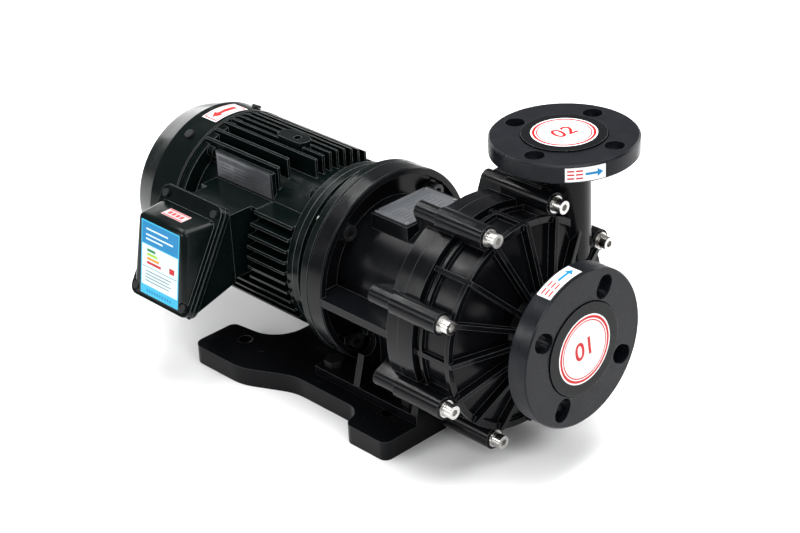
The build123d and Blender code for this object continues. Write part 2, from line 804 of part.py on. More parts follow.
# Fixed ceramic shaft with its thrust rings
shaft_rear_x = can_end_x + can_wall + face_clearance
shaft_front_x = spider_x + spider_bore_depth - face_clearance
with BuildPart() as pump_shaft:
    rod(shaft_rear_x, shaft_front_x, pump_shaft_radius)
    chamfer(pump_shaft.edges().filter_by(GeomType.CIRCLE), pump_shaft_chamfer)
pump_shaft.part.label = "pump_shaft"
export_step(pump_shaft.part, "parts/pump_shaft.step")

rear_ring_x = can_end_x + can_wall + socket_length
with BuildPart() as rear_thrust_ring:
    tube(rear_ring_x, rear_ring_x + thrust_ring_thickness, bush_radius, pump_shaft_radius + running_clearance)
rear_thrust_ring.part.label = "rear_thrust_ring"
export_step(rear_thrust_ring.part, "parts/rear_thrust_ring.step")

front_ring_x = spider_x - thrust_ring_thickness
with BuildPart() as front_thrust_ring:
    tube(front_ring_x, front_ring_x + thrust_ring_thickness, spider_hub_radius,
         pump_shaft_radius + running_clearance)
front_thrust_ring.part.label = "front_thrust_ring"
export_step(front_thrust_ring.part, "parts/front_thrust_ring.step")

# Impeller, closed, with vanes between two shrouds and its magnet behind
impeller_front_x = impeller_back_x + impeller_disc
bush_front_x = front_ring_x - face_clearance
eye_back_x = eye_front_x - eye_length
mouth_bore = eye_radius + eye_wall
with BuildPart() as impeller:
    rod(impeller_back_x, impeller_front_x, impeller_radius)
    magnet_front_x = rear_ring_x + thrust_ring_thickness + running_gap + inner_magnet_length
    rod(magnet_front_x, impeller_front_x, impeller_hub_radius)
    turned([(impeller_front_x, 0), (impeller_front_x, impeller_nose_radius),
            (bush_front_x - bush_recess, bush_radius + bush_wall), (bush_front_x - bush_recess, 0)])
    for vane in range(vane_count):
        with BuildSketch(shaft_plane(impeller_front_x)) as vane_shape:
            turn = 360 / vane_count * vane
            with BuildLine():
                SagittaArc((vane_root * cos(radians(turn)), vane_root * sin(radians(turn))),
                           (impeller_radius * cos(radians(turn - vane_sweep)),
                            impeller_radius * sin(radians(turn - vane_sweep))), vane_bow)
            trace(line_width=vane_thickness)
        extrude(amount=eye_back_x - impeller_front_x)
    turned([(impeller_front_x + impeller_outlet_width, impeller_radius),
            (impeller_front_x + impeller_outlet_width + impeller_shroud, impeller_radius),
            (eye_back_x + impeller_shroud, mouth_bore), (eye_front_x, mouth_bore),
            (eye_front_x, eye_radius), (eye_back_x, eye_radius)])
    turned([(eye_front_x + 1, impeller_radius + 20), (eye_front_x + 1, mouth_bore),
            (eye_back_x + impeller_shroud, mouth_bore),
            (impeller_front_x + impeller_outlet_width + impeller_shroud, impeller_radius),
            (impeller_front_x, impeller_radius), (impeller_front_x, impeller_radius + 20)],
           mode=Mode.SUBTRACT)
    rod(magnet_front_x, eye_front_x, bush_radius + running_clearance, mode=Mode.SUBTRACT)
impeller.part.label = "impeller"
export_step(impeller.part, "parts/impeller.step")

magnet_back_x = magnet_front_x - inner_magnet_length
with BuildPart() as inner_magnet:
    tube(magnet_back_x, magnet_front_x, inner_magnet_radius, bush_radius + running_clearance)
    chamfer(inner_magnet.edges().filter_by(GeomType.CIRCLE).group_by(SortBy.RADIUS)[-1], magnet_chamfer)
inner_magnet.part.label = "inner_magnet"
export_step(inner_magnet.part, "parts/inner_magnet.step")

bush_back_x = rear_ring_x + thrust_ring_thickness + face_clearance
with BuildPart() as impeller_bushes:
    for bush_start in (bush_back_x, bush_front_x - bush_length):
        tube(bush_start, bush_start + bush_length, bush_radius, pump_shaft_radius + running_clearance)
impeller_bushes.part.label = "impeller_bushes"
export_step(impeller_bushes.part, "parts/impeller_bushes.step")

with BuildPart() as mouth_ring:
    tube(eye_front_x - liner_ring_length / 2, eye_front_x, mouth_bore + mouth_ring_wall,
         mouth_bore + seat_clearance)
mouth_ring.part.label = "mouth_ring"
export_step(mouth_ring.part, "parts/mouth_ring.step")

with BuildPart() as liner_ring:
    tube(liner_back, liner_front, liner_seat - seat_clearance,
         mouth_bore + mouth_ring_wall + running_gap)
liner_ring.part.label = "liner_ring"
export_step(liner_ring.part, "parts/liner_ring.step")

# Drive magnets in their yoke on the motor shaft
yoke_bore = drive_magnet_inner + drive_magnet_thickness
magnet_stop_x = yoke_front_x - yoke_lip - drive_magnet_length
shaft_tip_x = motor_face_x + shaft_end_length
yoke_disc_x = shaft_tip_x - yoke_disc
with BuildPart() as drive_yoke:
    tube(yoke_disc_x, yoke_front_x, yoke_bore + yoke_wall, yoke_bore + seat_clearance)
    rod(yoke_disc_x, shaft_tip_x, yoke_bore + magnet_stop)
    rod(shaft_tip_x - yoke_hub_length, shaft_tip_x, yoke_hub_radius)
    tube(shaft_tip_x, magnet_stop_x, yoke_bore + magnet_stop, drive_magnet_inner + magnet_stop)
    rod(shaft_tip_x - yoke_hub_length, shaft_tip_x, shaft_end_radius + seat_clearance, mode=Mode.SUBTRACT)
    block((shaft_tip_x - yoke_hub_length, -key_width / 2, 0),
          (shaft_tip_x, key_width / 2, shaft_end_radius + key_height - key_depth + key_top_gap),
          mode=Mode.SUBTRACT)
drive_yoke.part.label = "drive_yoke"
export_step(drive_yoke.part, "parts/drive_yoke.step")

with BuildPart() as drive_magnets:
    with BuildSketch(shaft_plane(magnet_stop_x)) as magnet_ring:
        Circle(yoke_bore)
        Circle(drive_magnet_inner, mode=Mode.SUBTRACT)
        with PolarLocations(drive_magnet_inner + drive_magnet_thickness / 2, drive_magnet_count):
            Rectangle(2 * drive_magnet_thickness, drive_magnet_gap, mode=Mode.SUBTRACT)
    extrude(amount=drive_magnet_length)
drive_magnets.part.label = "drive_magnets"
export_step(drive_magnets.part, "parts/drive_magnets.step")

# Motor front endshield with its flange
bearing_front_x = endshield_rim_x + 1
with BuildPart() as motor_flange:
    rod(flange_back_x, motor_face_x, motor_flange_radius)
    chamfer(motor_flange.edges(), flange_edge)
    rod(motor_face_x, motor_face_x + spigot_height, spigot_radius - running_clearance)
    turned([(flange_back_x, 0), (flange_back_x, endshield_neck_radius),
            (flange_back_x - endshield_neck_length, endshield_neck_radius),
            (endshield_rim_x, endshield_rim_radius), (frame_front_x, endshield_rim_radius),
            (frame_front_x, 0)])
    turned([(frame_front_x, bearing_outer + bearing_seat_wall), (frame_front_x, stator_radius),
            (bearing_front_x + 3, stator_radius), (bearing_front_x + 3, bearing_outer + bearing_seat_wall)],
           mode=Mode.SUBTRACT)
    rod(frame_front_x, bearing_front_x + bearing_width, bearing_outer + seat_clearance, mode=Mode.SUBTRACT)
    rod(frame_front_x, motor_face_x + spigot_height, shaft_body_radius + shaft_hole_gap,
        mode=Mode.SUBTRACT)
    ring_of_rods(flange_back_x - endshield_neck_length, motor_face_x, flange_bolt_radius + hole_clearance,
                 flange_bolt_circle, 4, 45, mode=Mode.SUBTRACT)
    ring_of_rods(flange_back_x - endshield_neck_length + 1, flange_back_x, flange_nut_pocket,
                 flange_bolt_circle, 4, 45, mode=Mode.SUBTRACT)
    rods_at(frame_front_x, endshield_rim_x + 9, endshield_screw_radius + washer_clearance,
            endshield_screw_circle, lug_angles, mode=Mode.SUBTRACT)
    rods_at(endshield_rim_x + face_clearance, flange_back_x, endshield_lug_radius,
            endshield_screw_circle, lug_angles, mode=Mode.SUBTRACT)
motor_flange.part.label = "motor_flange"
export_step(motor_flange.part, "parts/motor_flange.step")

flange_seat_x = motor_face_x + bracket_flange_web
flange_bolt_head = 2 * flange_bolt_radius
with BuildPart() as flange_bolts:
    ring_of_rods(flange_seat_x + flange_washer_thickness - flange_bolt_length,
                 flange_seat_x + flange_washer_thickness,
                 flange_bolt_radius - running_clearance, flange_bolt_circle, 4, 45)
    ring_of_rods(flange_seat_x + flange_washer_thickness,
                 flange_seat_x + flange_washer_thickness + flange_bolt_head,
                 flange_head_radius, flange_bolt_circle, 4, 45)
    with BuildSketch(shaft_plane(flange_seat_x + flange_washer_thickness + flange_bolt_head)):
        with PolarLocations(flange_bolt_circle, 4, start_angle=45):
            RegularPolygon(flange_socket_radius, 6, major_radius=False)
    extrude(amount=-flange_socket_depth, mode=Mode.SUBTRACT)
flange_bolts.part.label = "flange_bolts"
export_step(flange_bolts.part, "parts/flange_bolts.step")

with BuildPart() as flange_washers:
    with BuildSketch(shaft_plane(flange_seat_x)):
        with PolarLocations(flange_bolt_circle, 4, start_angle=45):
            Circle(flange_washer_radius)
            Circle(flange_bolt_radius + washer_clearance, mode=Mode.SUBTRACT)
    extrude(amount=flange_washer_thickness)
flange_washers.part.label = "flange_washers"
export_step(flange_washers.part, "parts/flange_washers.step")

with BuildPart() as flange_nuts:
    with BuildSketch(shaft_plane(flange_back_x - flange_nut_height)):
        with PolarLocations(flange_bolt_circle, 4, start_angle=45):
            RegularPolygon(flange_nut_across / 2, 6, major_radius=False)
            Circle(flange_bolt_radius, mode=Mode.SUBTRACT)
    extrude(amount=flange_nut_height)
flange_nuts.part.label = "flange_nuts"
export_step(flange_nuts.part, "parts/flange_nuts.step")

# Motor frame with its fins
fin_back_x = frame_back_x + 2
top_fin_ys = [top_fin_pitch * (k + 0.5) for k in range(-2, 6)]
short_fin_ys = (-27, -40)
side_fin_zs = [side_fin_pitch * (k + 0.5) for k in range(-5, 5)]


def fin_set(centres, lengthwise, start, front):
    """Parallel fins from the frame out to the fin circle, on one side of the motor."""
    with BuildSketch(shaft_plane(fin_back_x)) as fins:
        with Locations(*centres):
            if lengthwise:
                Rectangle(fin_radius - start, fin_thickness)
            else:
                Rectangle(fin_thickness, fin_radius - start)
        Circle(fin_radius, mode=Mode.INTERSECT)
    extrude(fins.sketch, amount=front - fin_back_x)


fin_middle = (fin_radius + fin_root) / 2
with BuildPart() as motor_frame:
    tube(frame_back_x, frame_front_x, frame_radius, stator_radius + seat_clearance)
    tube(frame_front_x - frame_ring_length, frame_front_x, endshield_rim_radius, frame_radius - 1)
    tube(frame_back_x, frame_back_x + frame_ring_length, endshield_rim_radius, frame_radius - 1)
    fin_set([(y, fin_middle) for y in top_fin_ys], False, fin_root, top_fin_front)
    fin_set([(y, fin_middle) for y in short_fin_ys], False, fin_root, short_fin_front)
    fin_set([(y, -fin_middle) for y in top_fin_ys[:-1]] + [(-y, -fin_middle) for y in top_fin_ys[3:-1]],
            False, fin_root, side_fin_front)
    fin_set([(fin_middle, z) for z in side_fin_zs], True, fin_root, side_fin_front)
    fin_set([(-fin_middle, z) for z in side_fin_zs if z < terminal_low], True, fin_root, side_fin_front)
    with BuildSketch(shaft_plane(box_x + box_width / 2)) as front_side_fins:
        with Locations(*[(-fin_middle, z) for z in side_fin_zs if z > terminal_low]):
            Rectangle(fin_radius - fin_root, fin_thickness)
        Circle(fin_radius, mode=Mode.INTERSECT)
    extrude(amount=side_fin_front - box_x - box_width / 2)
    block((box_x - box_width / 2 + box_neck_inset, box_back_y, box_neck_bottom),
          (box_x + box_width / 2 - box_neck_inset, box_neck_root, box_neck_top))
    block((box_x - box_width / 2 + badge_pad_inset, nameplate_y, box_neck_top - badge_inset),
          (box_x + box_width / 2 - badge_pad_inset, nameplate_y + badge_inset, badge_top + 1))
    block((box_x - box_width / 2 + badge_pad_inset, nameplate_y - ledge_depth,
           box_neck_top - ledge_thickness),
          (box_x + box_width / 2 - badge_pad_inset, nameplate_y, box_neck_top))
    with BuildSketch(Plane((box_x + lifting_pad_offset, 0, shaft_height + fin_middle))) as lifting_pad:
        SlotOverall(lifting_pad_length, lifting_pad_width)
    extrude(amount=lifting_pad_top - fin_middle)
    rods_at(frame_front_x - lug_length, frame_front_x, endshield_lug_radius, endshield_screw_circle,
            lug_angles)
    rods_at(frame_back_x, frame_back_x + lug_length, endshield_lug_radius, endshield_screw_circle,
            lug_angles)
    rod(frame_back_x, frame_front_x, stator_radius + seat_clearance, mode=Mode.SUBTRACT)
    rods_at(frame_front_x - screw_hole_length, frame_front_x, endshield_screw_radius,
            endshield_screw_circle, lug_angles, mode=Mode.SUBTRACT)
    rods_at(frame_back_x, frame_back_x + screw_hole_length, endshield_screw_radius,
            endshield_screw_circle, lug_angles, mode=Mode.SUBTRACT)
    with BuildSketch(Plane((box_x + lifting_hole_offset, 0, shaft_height + lifting_pad_top))) as lifting_hole:
        Circle(lifting_hole_radius)
    extrude(amount=-lifting_hole_depth, mode=Mode.SUBTRACT)
motor_frame.part.label = "motor_frame"
export_step(motor_frame.part, "parts/motor_frame.step")

# Motor rear endshield, screws, core and windings
rear_shield_x = frame_back_x - rear_endshield_thickness
rear_bearing_x = frame_back_x
with BuildPart() as rear_endshield:
    rod(rear_shield_x, frame_back_x, rear_endshield_radius)
    rod(rear_bearing_x - 2, rear_bearing_x + bearing_width + 3, bearing_outer + bearing_seat_wall)
    with BuildSketch(shaft_plane(rear_shield_x)) as cover_lugs:
        for angle in lug_angles:
            lug_place = (cover_lug_circle * cos(radians(angle)), cover_lug_circle * sin(radians(angle)))
            with Locations(Location(lug_place, angle)):
                Rectangle(cover_lug_depth, cover_lug_length)
        Circle(rear_endshield_radius, mode=Mode.INTERSECT)
    extrude(amount=-cover_lug_length)
    rod(rear_bearing_x, rear_bearing_x + bearing_width + 3, bearing_outer + seat_clearance,
        mode=Mode.SUBTRACT)
    rod(rear_shield_x, rear_bearing_x, shaft_end_radius + 2, mode=Mode.SUBTRACT)
    for angle in lug_angles:
        with BuildSketch(radial_plane(angle)) as cover_screw_hole:
            with Locations((cover_screw_x, rear_endshield_radius)):
                Rectangle(2 * cover_screw_radius, 16)
        extrude(amount=cover_screw_radius, both=True, mode=Mode.SUBTRACT)
rear_endshield.part.label = "rear_endshield"
export_step(rear_endshield.part, "parts/rear_endshield.step")

with BuildPart() as endshield_screws:
    rods_at(frame_front_x - screw_thread_length, endshield_rim_x + face_clearance,
            endshield_screw_radius - running_clearance, endshield_screw_circle, lug_angles)
    rods_at(endshield_rim_x + face_clearance, endshield_rim_x + face_clearance + endshield_head_height,
            endshield_head_radius, endshield_screw_circle, lug_angles)
endshield_screws.part.label = "endshield_screws"
export_step(endshield_screws.part, "parts/endshield_screws.step")

rotor_back_x = rotor_front_x - rotor_length
stator_bore = rotor_radius + air_gap
with BuildPart() as stator_core:
    tube(rotor_back_x, rotor_front_x, stator_radius, stator_bore)
stator_core.part.label = "stator_core"
export_step(stator_core.part, "parts/stator_core.step")

with BuildPart() as stator_winding:
    for coil_end, way in ((rotor_front_x, 1), (rotor_back_x, -1)):
        coil_tip = coil_end + way * winding_length
        turned([(coil_end, stator_bore + winding_gap), (coil_end, stator_radius - winding_gap),
                (coil_tip, stator_radius - winding_gap - winding_draft),
                (coil_tip, stator_bore + winding_gap + winding_draft)])
stator_winding.part.label = "stator_winding"
export_step(stator_winding.part, "parts/stator_winding.step")

# Motor rotor: shaft, core, key and fan
with BuildPart() as motor_shaft:
    turned([(shaft_tip_x, 0), (shaft_tip_x, shaft_end_radius), (motor_face_x, shaft_end_radius),
            (bearing_front_x + bearing_width, shaft_end_radius),
            (bearing_front_x + bearing_width, bearing_inner), (bearing_front_x, bearing_inner),
            (bearing_front_x, shaft_body_radius), (rear_bearing_x + bearing_width, shaft_body_radius),
            (rear_bearing_x + bearing_width, bearing_inner), (rear_bearing_x, bearing_inner),
            (rear_bearing_x, shaft_tail_radius), (fan_back_x, shaft_tail_radius), (fan_back_x, 0)])
    block((shaft_tip_x - key_length - key_end_gap, -key_width / 2, shaft_end_radius - key_depth),
          (shaft_tip_x - key_end_gap, key_width / 2, shaft_end_radius + 1), mode=Mode.SUBTRACT)
motor_shaft.part.label = "motor_shaft"
export_step(motor_shaft.part, "parts/motor_shaft.step")

with BuildPart() as shaft_key:
    block((shaft_tip_x - key_length - key_end_gap, -key_width / 2, shaft_end_radius - key_depth),
          (shaft_tip_x - key_end_gap, key_width / 2, shaft_end_radius - key_depth + key_height))
shaft_key.part.label = "shaft_key"
export_step(shaft_key.part, "parts/shaft_key.step")

with BuildPart() as rotor_core:
    tube(rotor_back_x, rotor_front_x, rotor_radius, shaft_body_radius + 0.01)
    for ring_start in (rotor_front_x, rotor_back_x - end_ring_length):
        tube(ring_start, ring_start + end_ring_length, rotor_radius - winding_gap,
             rotor_radius - winding_gap - end_ring_depth)
rotor_core.part.label = "rotor_core"
export_step(rotor_core.part, "parts/rotor_core.step")

with BuildPart() as front_bearing:
    tube(bearing_front_x, bearing_front_x + bearing_width, bearing_outer, bearing_inner + running_clearance)
front_bearing.part.label = "front_bearing"
export_step(front_bearing.part, "parts/front_bearing.step")

with BuildPart() as rear_bearing:
    tube(rear_bearing_x, rear_bearing_x + bearing_width, bearing_outer, bearing_inner + running_clearance)
rear_bearing.part.label = "rear_bearing"
export_step(rear_bearing.part, "parts/rear_bearing.step")

fan_front_x = fan_back_x + fan_width
with BuildPart() as fan:
    tube(fan_back_x, fan_front_x, fan_hub_radius, shaft_tail_radius + seat_clearance)
    tube(fan_front_x - fan_disc, fan_front_x, fan_radius, fan_hub_radius - 2)
    with BuildSketch(shaft_plane(fan_back_x)) as blades:
        with PolarLocations((fan_radius + fan_hub_radius) / 2 - 1, fan_blade_count):
            Rectangle(fan_radius - fan_hub_radius + 1, fan_blade_thickness)
    extrude(amount=fan_width - fan_disc + 1)
fan.part.label = "fan"
export_step(fan.part, "parts/fan.step")

# Fan cover with its grille
with BuildPart() as fan_cover:
    turned([(frame_back_x - face_clearance, sleeve_inner),
            (frame_back_x - face_clearance, cover_outer_radius),
            (cover_shoulder_x, cover_outer_radius), (cover_cone_x, cover_cone_radius),
            (cover_back_x, cover_cone_radius - 5), (cover_back_x, 0), (cover_back_wall_x, 0),
            (cover_back_wall_x, cover_cone_radius - 6), (cover_cone_x + 1, cover_cone_radius - 2),
            (cover_shoulder_x, sleeve_inner)])
    for ring in range(grille_rings):
        slot_inner = grille_start + grille_pitch * ring
        with BuildSketch(shaft_plane(cover_back_x)) as grille_slots:
            Circle(slot_inner + grille_slot)
            Circle(slot_inner, mode=Mode.SUBTRACT)
            for spoke_angle in (0, 60, 120):
                Rectangle(2 * cover_outer_radius, grille_slot, rotation=spoke_angle, mode=Mode.SUBTRACT)
        extrude(amount=cover_sheet, mode=Mode.SUBTRACT)
    for angle in lug_angles:
        with BuildSketch(radial_plane(angle)) as screw_slot:
            with Locations((cover_screw_x, sleeve_inner)):
                Rectangle(2 * (cover_screw_radius + washer_clearance), 6 * cover_sheet)
        extrude(amount=cover_screw_radius + washer_clearance, both=True, mode=Mode.SUBTRACT)
fan_cover.part.label = "fan_cover"
export_step(fan_cover.part, "parts/fan_cover.step")

with BuildPart() as fan_cover_screws:
    for angle in lug_angles:
        out = (0, cos(radians(angle)), sin(radians(angle)))
        seat = cover_outer_radius + face_clearance
        screw_seat = Plane(origin=(cover_screw_x, seat * out[1], shaft_height + seat * out[2]),
                           x_dir=(1, 0, 0), z_dir=out)
        with BuildSketch(screw_seat) as screw_head:
            Circle(2 * cover_screw_radius)
        extrude(amount=cover_screw_radius)
        with BuildSketch(screw_seat) as screw_shank:
            Circle(cover_screw_radius)
        extrude(amount=-cover_sheet - face_clearance - cover_screw_grip)
fan_cover_screws.part.label = "fan_cover_screws"
export_step(fan_cover_screws.part, "parts/fan_cover_screws.step")

# Motor name plate on its pad
with BuildPart() as motor_nameplate:
    block((box_x - box_width / 2 + badge_inset, nameplate_y - nameplate_thickness, badge_bottom),
          (box_x + box_width / 2 - badge_inset, nameplate_y, badge_top))
motor_nameplate.part.label = "motor_nameplate"
export_step(motor_nameplate.part, "parts/motor_nameplate.step")

# Terminal box: a fixed half and a cover that part on a plane tilted toward the user
tilt_cos = cos(radians(box_tilt))
tilt_sin = sin(radians(box_tilt))


def rim_plane(height):
    """The plane of the terminal box's joint, moved outward by a height."""
    return Plane(origin=(box_x, box_y - height * tilt_cos, shaft_height + box_z + height * tilt_sin),
                 x_dir=(1, 0, 0), z_dir=(0, -tilt_cos, tilt_sin))


def screw_places():
    """The four cover screws, in from the corners of the rim."""
    return GridLocations(box_width - 2 * screw_inset, box_height - 2 * screw_inset, 2, 2)


def side_prism(outline, half_width, mode=Mode.ADD):
    """A prism across the terminal box from an outline of (y, z above the shaft) points."""
    with BuildSketch(shaft_plane(box_x - half_width)) as section:
        with BuildLine():
            Polyline(outline, close=True)
        make_face()
    extrude(section.sketch, amount=2 * half_width, mode=mode)


half_height = box_height / 2
rim_top = (box_y + half_height * tilt_sin, box_z + half_height * tilt_cos)
rim_bottom = (box_y - half_height * tilt_sin, box_z - half_height * tilt_cos)
with BuildPart() as terminal_base:
    side_prism([(box_back_y, box_back_low), (box_back_y, rim_top[1] - 3), rim_top, rim_bottom],
               box_width / 2 - box_side_inset)
    with BuildSketch(rim_plane(-box_rim)) as base_rim:
        RectangleRounded(box_width, box_height, box_corner)
    extrude(amount=box_rim)
    inner_top = (rim_top[0] - box_wall, rim_top[1] - 2 * box_wall)
    inner_bottom = (rim_bottom[0] + box_wall, rim_bottom[1] + 3 * box_wall)
    side_prism([(box_back_y - box_wall, box_back_low + box_wall), (box_back_y - box_wall, inner_top[1]),
                (inner_top[0] - 20, inner_top[1] + 2), (inner_bottom[0] - 20, inner_bottom[1] + 2),
                (inner_bottom[0] + 14, inner_bottom[1])], box_width / 2 - box_side_inset - box_wall,
               mode=Mode.SUBTRACT)
    with BuildSketch(rim_plane(-box_screw_hole)) as base_screw_holes:
        with screw_places():
            Circle(box_screw_radius)
    extrude(amount=box_screw_hole, mode=Mode.SUBTRACT)
terminal_base.part.label = "terminal_base"
export_step(terminal_base.part, "parts/terminal_base.step")

with BuildPart() as cover_gasket:
    with BuildSketch(rim_plane(0)):
        RectangleRounded(box_width - 2, box_height - 2, 9)
        RectangleRounded(box_width - 20, box_height - 22, 9, mode=Mode.SUBTRACT)
        with screw_places():
            Circle(box_screw_radius + hole_clearance, mode=Mode.SUBTRACT)
    extrude(amount=gasket_thickness)
cover_gasket.part.label = "cover_gasket"
export_step(cover_gasket.part, "parts/cover_gasket.step")


def cover_form(shrink, edge_radius=0):
    """The hipped cover body with rounded edges, or the plain hollow inside it when shrunk by the wall."""
    top_y = rim_top[0] - cover_hip * tilt_sin
    low_y = rim_bottom[0] - 3.5
    low_z = rim_bottom[1] + cover_low_lift + shrink
    with BuildPart() as form:
        side_prism([(top_y, cover_top - shrink), (-cover_nose + shrink, cover_top - shrink),
                    (low_y + shrink, low_z), (low_y + 12, low_z)], box_width / 2 - cover_side_inset - shrink)
        with BuildSketch(rim_plane(0)) as hips:
            Rectangle(box_width - 2 * (cover_side_inset + shrink), 2 * box_height)
        extrude(hips.sketch, amount=cover_depth, taper=cover_taper, mode=Mode.INTERSECT)
        if edge_radius:
            fillet(form.edges().filter_by(lambda edge: edge.center().Y < box_y - cover_hip), edge_radius)
    return form.part


cover_body = cover_form(0, cover_edge)
cover_hollow = cover_form(cover_wall)
with BuildPart() as terminal_cover:
    with BuildSketch(rim_plane(gasket_thickness)) as cover_plate:
        RectangleRounded(box_width, box_height, box_corner)
    extrude(amount=cover_rim)
    add(cover_body)
    with BuildSketch(rim_plane(gasket_thickness)) as below_joint:
        Rectangle(2 * box_width, 2 * box_height)
    extrude(amount=-cover_depth, mode=Mode.SUBTRACT)
    add(cover_hollow, mode=Mode.SUBTRACT)
    with BuildSketch(rim_plane(0)) as cover_screw_holes:
        with screw_places():
            Circle(box_screw_radius + hole_clearance)
    extrude(amount=gasket_thickness + cover_rim, mode=Mode.SUBTRACT)
    with BuildSketch(rim_plane(gasket_thickness + cover_rim)) as screw_wells:
        with screw_places():
            Circle(screw_well_radius)
    extrude(amount=cover_depth, mode=Mode.SUBTRACT)
terminal_cover.part.label = "terminal_cover"
export_step(terminal_cover.part, "parts/terminal_cover.step")

with BuildPart() as cover_screws:
    with BuildSketch(rim_plane(gasket_thickness + cover_rim)) as cover_screw_heads:
        with screw_places():
            Circle(box_screw_head)
    extrude(amount=0.75 * box_screw_head)
    with BuildSketch(rim_plane(gasket_thickness + cover_rim)) as cover_screw_shanks:
        with screw_places():
            Circle(box_screw_radius)
    extrude(amount=-box_screw_length)
cover_screws.part.label = "cover_screws"
export_step(cover_screws.part, "parts/cover_screws.step")

# Terminal board with its studs, on the back wall of the box
board_y = box_back_y - box_wall
stud_plane = Plane(origin=(box_x, board_y - board_thickness, shaft_height + board_z), x_dir=(1, 0, 0),
                   z_dir=(0, -1, 0))
with BuildPart() as terminal_board:
    block((box_x - board_width / 2, board_y - board_thickness, board_z - board_height / 2),
          (box_x + board_width / 2, board_y, board_z + board_height / 2))
terminal_board.part.label = "terminal_board"
export_step(terminal_board.part, "parts/terminal_board.step")

with BuildPart() as terminal_studs:
    with BuildSketch(stud_plane) as studs:
        with GridLocations(stud_pitch_x, stud_pitch_z, 3, 2):
            Circle(stud_radius)
    extrude(amount=stud_length)
    with BuildSketch(stud_plane) as stud_nuts:
        with GridLocations(stud_pitch_x, stud_pitch_z, 3, 2):
            RegularPolygon(stud_nut_height, 6, major_radius=False)
    extrude(amount=stud_nut_height)
terminal_studs.part.label = "terminal_studs"
export_step(terminal_studs.part, "parts/terminal_studs.step")

# Cable gland on the box's end wall
gland_wall_x = box_x - box_width / 2 + box_side_inset


def gland_plane(distance):
    """A plane across the gland, at a distance out from the box's end wall."""
    return Plane(origin=(gland_wall_x - distance, gland_y, shaft_height + gland_z), x_dir=(0, 1, 0),
                 z_dir=(-1, 0, 0))


with BuildPart() as cable_gland:
    with BuildSketch(gland_plane(0)) as gland_body:
        RegularPolygon(gland_hex / 2, 6, major_radius=False)
    extrude(amount=gland_hex_height)
    with BuildSketch(gland_plane(gland_hex_height)) as gland_nut:
        Circle(gland_nut_radius)
    extrude(amount=gland_nut_length)
    chamfer(cable_gland.faces().sort_by(Axis.X)[0].edges(), 3)
    with BuildSketch(gland_plane(0)) as gland_bore:
        Circle(gland_bore_radius)
    extrude(amount=gland_hex_height + gland_nut_length, mode=Mode.SUBTRACT)
cable_gland.part.label = "cable_gland"
export_step(cable_gland.part, "parts/cable_gland.step")
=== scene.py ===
import json
import math

import bmesh
import bpy
from mathutils import Matrix, Vector


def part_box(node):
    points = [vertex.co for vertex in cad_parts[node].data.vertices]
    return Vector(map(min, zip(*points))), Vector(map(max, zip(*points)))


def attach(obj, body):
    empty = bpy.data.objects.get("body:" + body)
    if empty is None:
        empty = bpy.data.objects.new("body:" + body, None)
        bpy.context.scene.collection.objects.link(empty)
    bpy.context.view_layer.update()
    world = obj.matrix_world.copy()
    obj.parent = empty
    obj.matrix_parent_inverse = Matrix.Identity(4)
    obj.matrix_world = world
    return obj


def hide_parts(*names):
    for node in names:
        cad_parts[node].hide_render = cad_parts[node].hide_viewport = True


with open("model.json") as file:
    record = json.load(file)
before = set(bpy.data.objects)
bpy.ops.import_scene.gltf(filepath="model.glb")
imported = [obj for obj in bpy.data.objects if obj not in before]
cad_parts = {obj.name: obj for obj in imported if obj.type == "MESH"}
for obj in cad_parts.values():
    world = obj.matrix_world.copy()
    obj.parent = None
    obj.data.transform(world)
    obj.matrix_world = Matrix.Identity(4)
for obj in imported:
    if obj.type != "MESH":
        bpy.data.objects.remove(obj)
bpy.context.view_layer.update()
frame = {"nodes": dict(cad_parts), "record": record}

# Places taken from the frame, in metres
mm = 0.001
shaft_z = sum(p[2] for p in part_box("motor_shaft")) / 2
inlet_low, inlet_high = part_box("inlet_flange")
outlet_low, outlet_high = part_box("outlet_flange")
casing_low, casing_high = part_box("front_casing")
cover_low, cover_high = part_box("fan_cover")
plate_low, plate_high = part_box("bracket_nameplate")
badge_low, badge_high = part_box("motor_nameplate")
inlet_radius = (inlet_high[1] - inlet_low[1]) / 2
outlet_radius = (outlet_high[0] - outlet_low[0]) / 2
outlet_x = (outlet_low[0] + outlet_high[0]) / 2
outlet_y = (outlet_low[1] + outlet_high[1]) / 2


# Camera, at the photograph's own place
def set_camera():
    right = Vector((0.69528562, 0.71720357, -0.04687152))
    up = Vector((-0.31117131, 0.35916419, 0.8798713))
    back = Vector((0.64788141, -0.59717679, 0.47289488))
    eye = Vector((1.36649, -1.21087, 1.0892))
    focal_pixels = 2079.05
    photo_width = 800
    data = bpy.data.cameras.new("camera")
    data.sensor_width = 36
    data.lens = focal_pixels * data.sensor_width / photo_width
    camera = bpy.data.objects.new("camera", data)
    bpy.context.collection.objects.link(camera)
    turn = Matrix((right, up, back)).transposed().to_4x4()
    camera.matrix_world = Matrix.Translation(eye) @ turn
    bpy.context.scene.camera = camera
    bpy.context.scene.view_settings.view_transform = "Standard"


# Floor and light
def area_light(name, place, target, size, power, tint=(1, 1, 1)):
    data = bpy.data.lights.new(name, "AREA")
    data.shape = "RECTANGLE"
    data.size, data.size_y = size
    data.energy = power
    data.color = tint
    light = bpy.data.objects.new(name, data)
    bpy.context.collection.objects.link(light)
    light.location = place
    light.rotation_euler = (Vector(target) - Vector(place)).to_track_quat("-Z", "Y").to_euler()


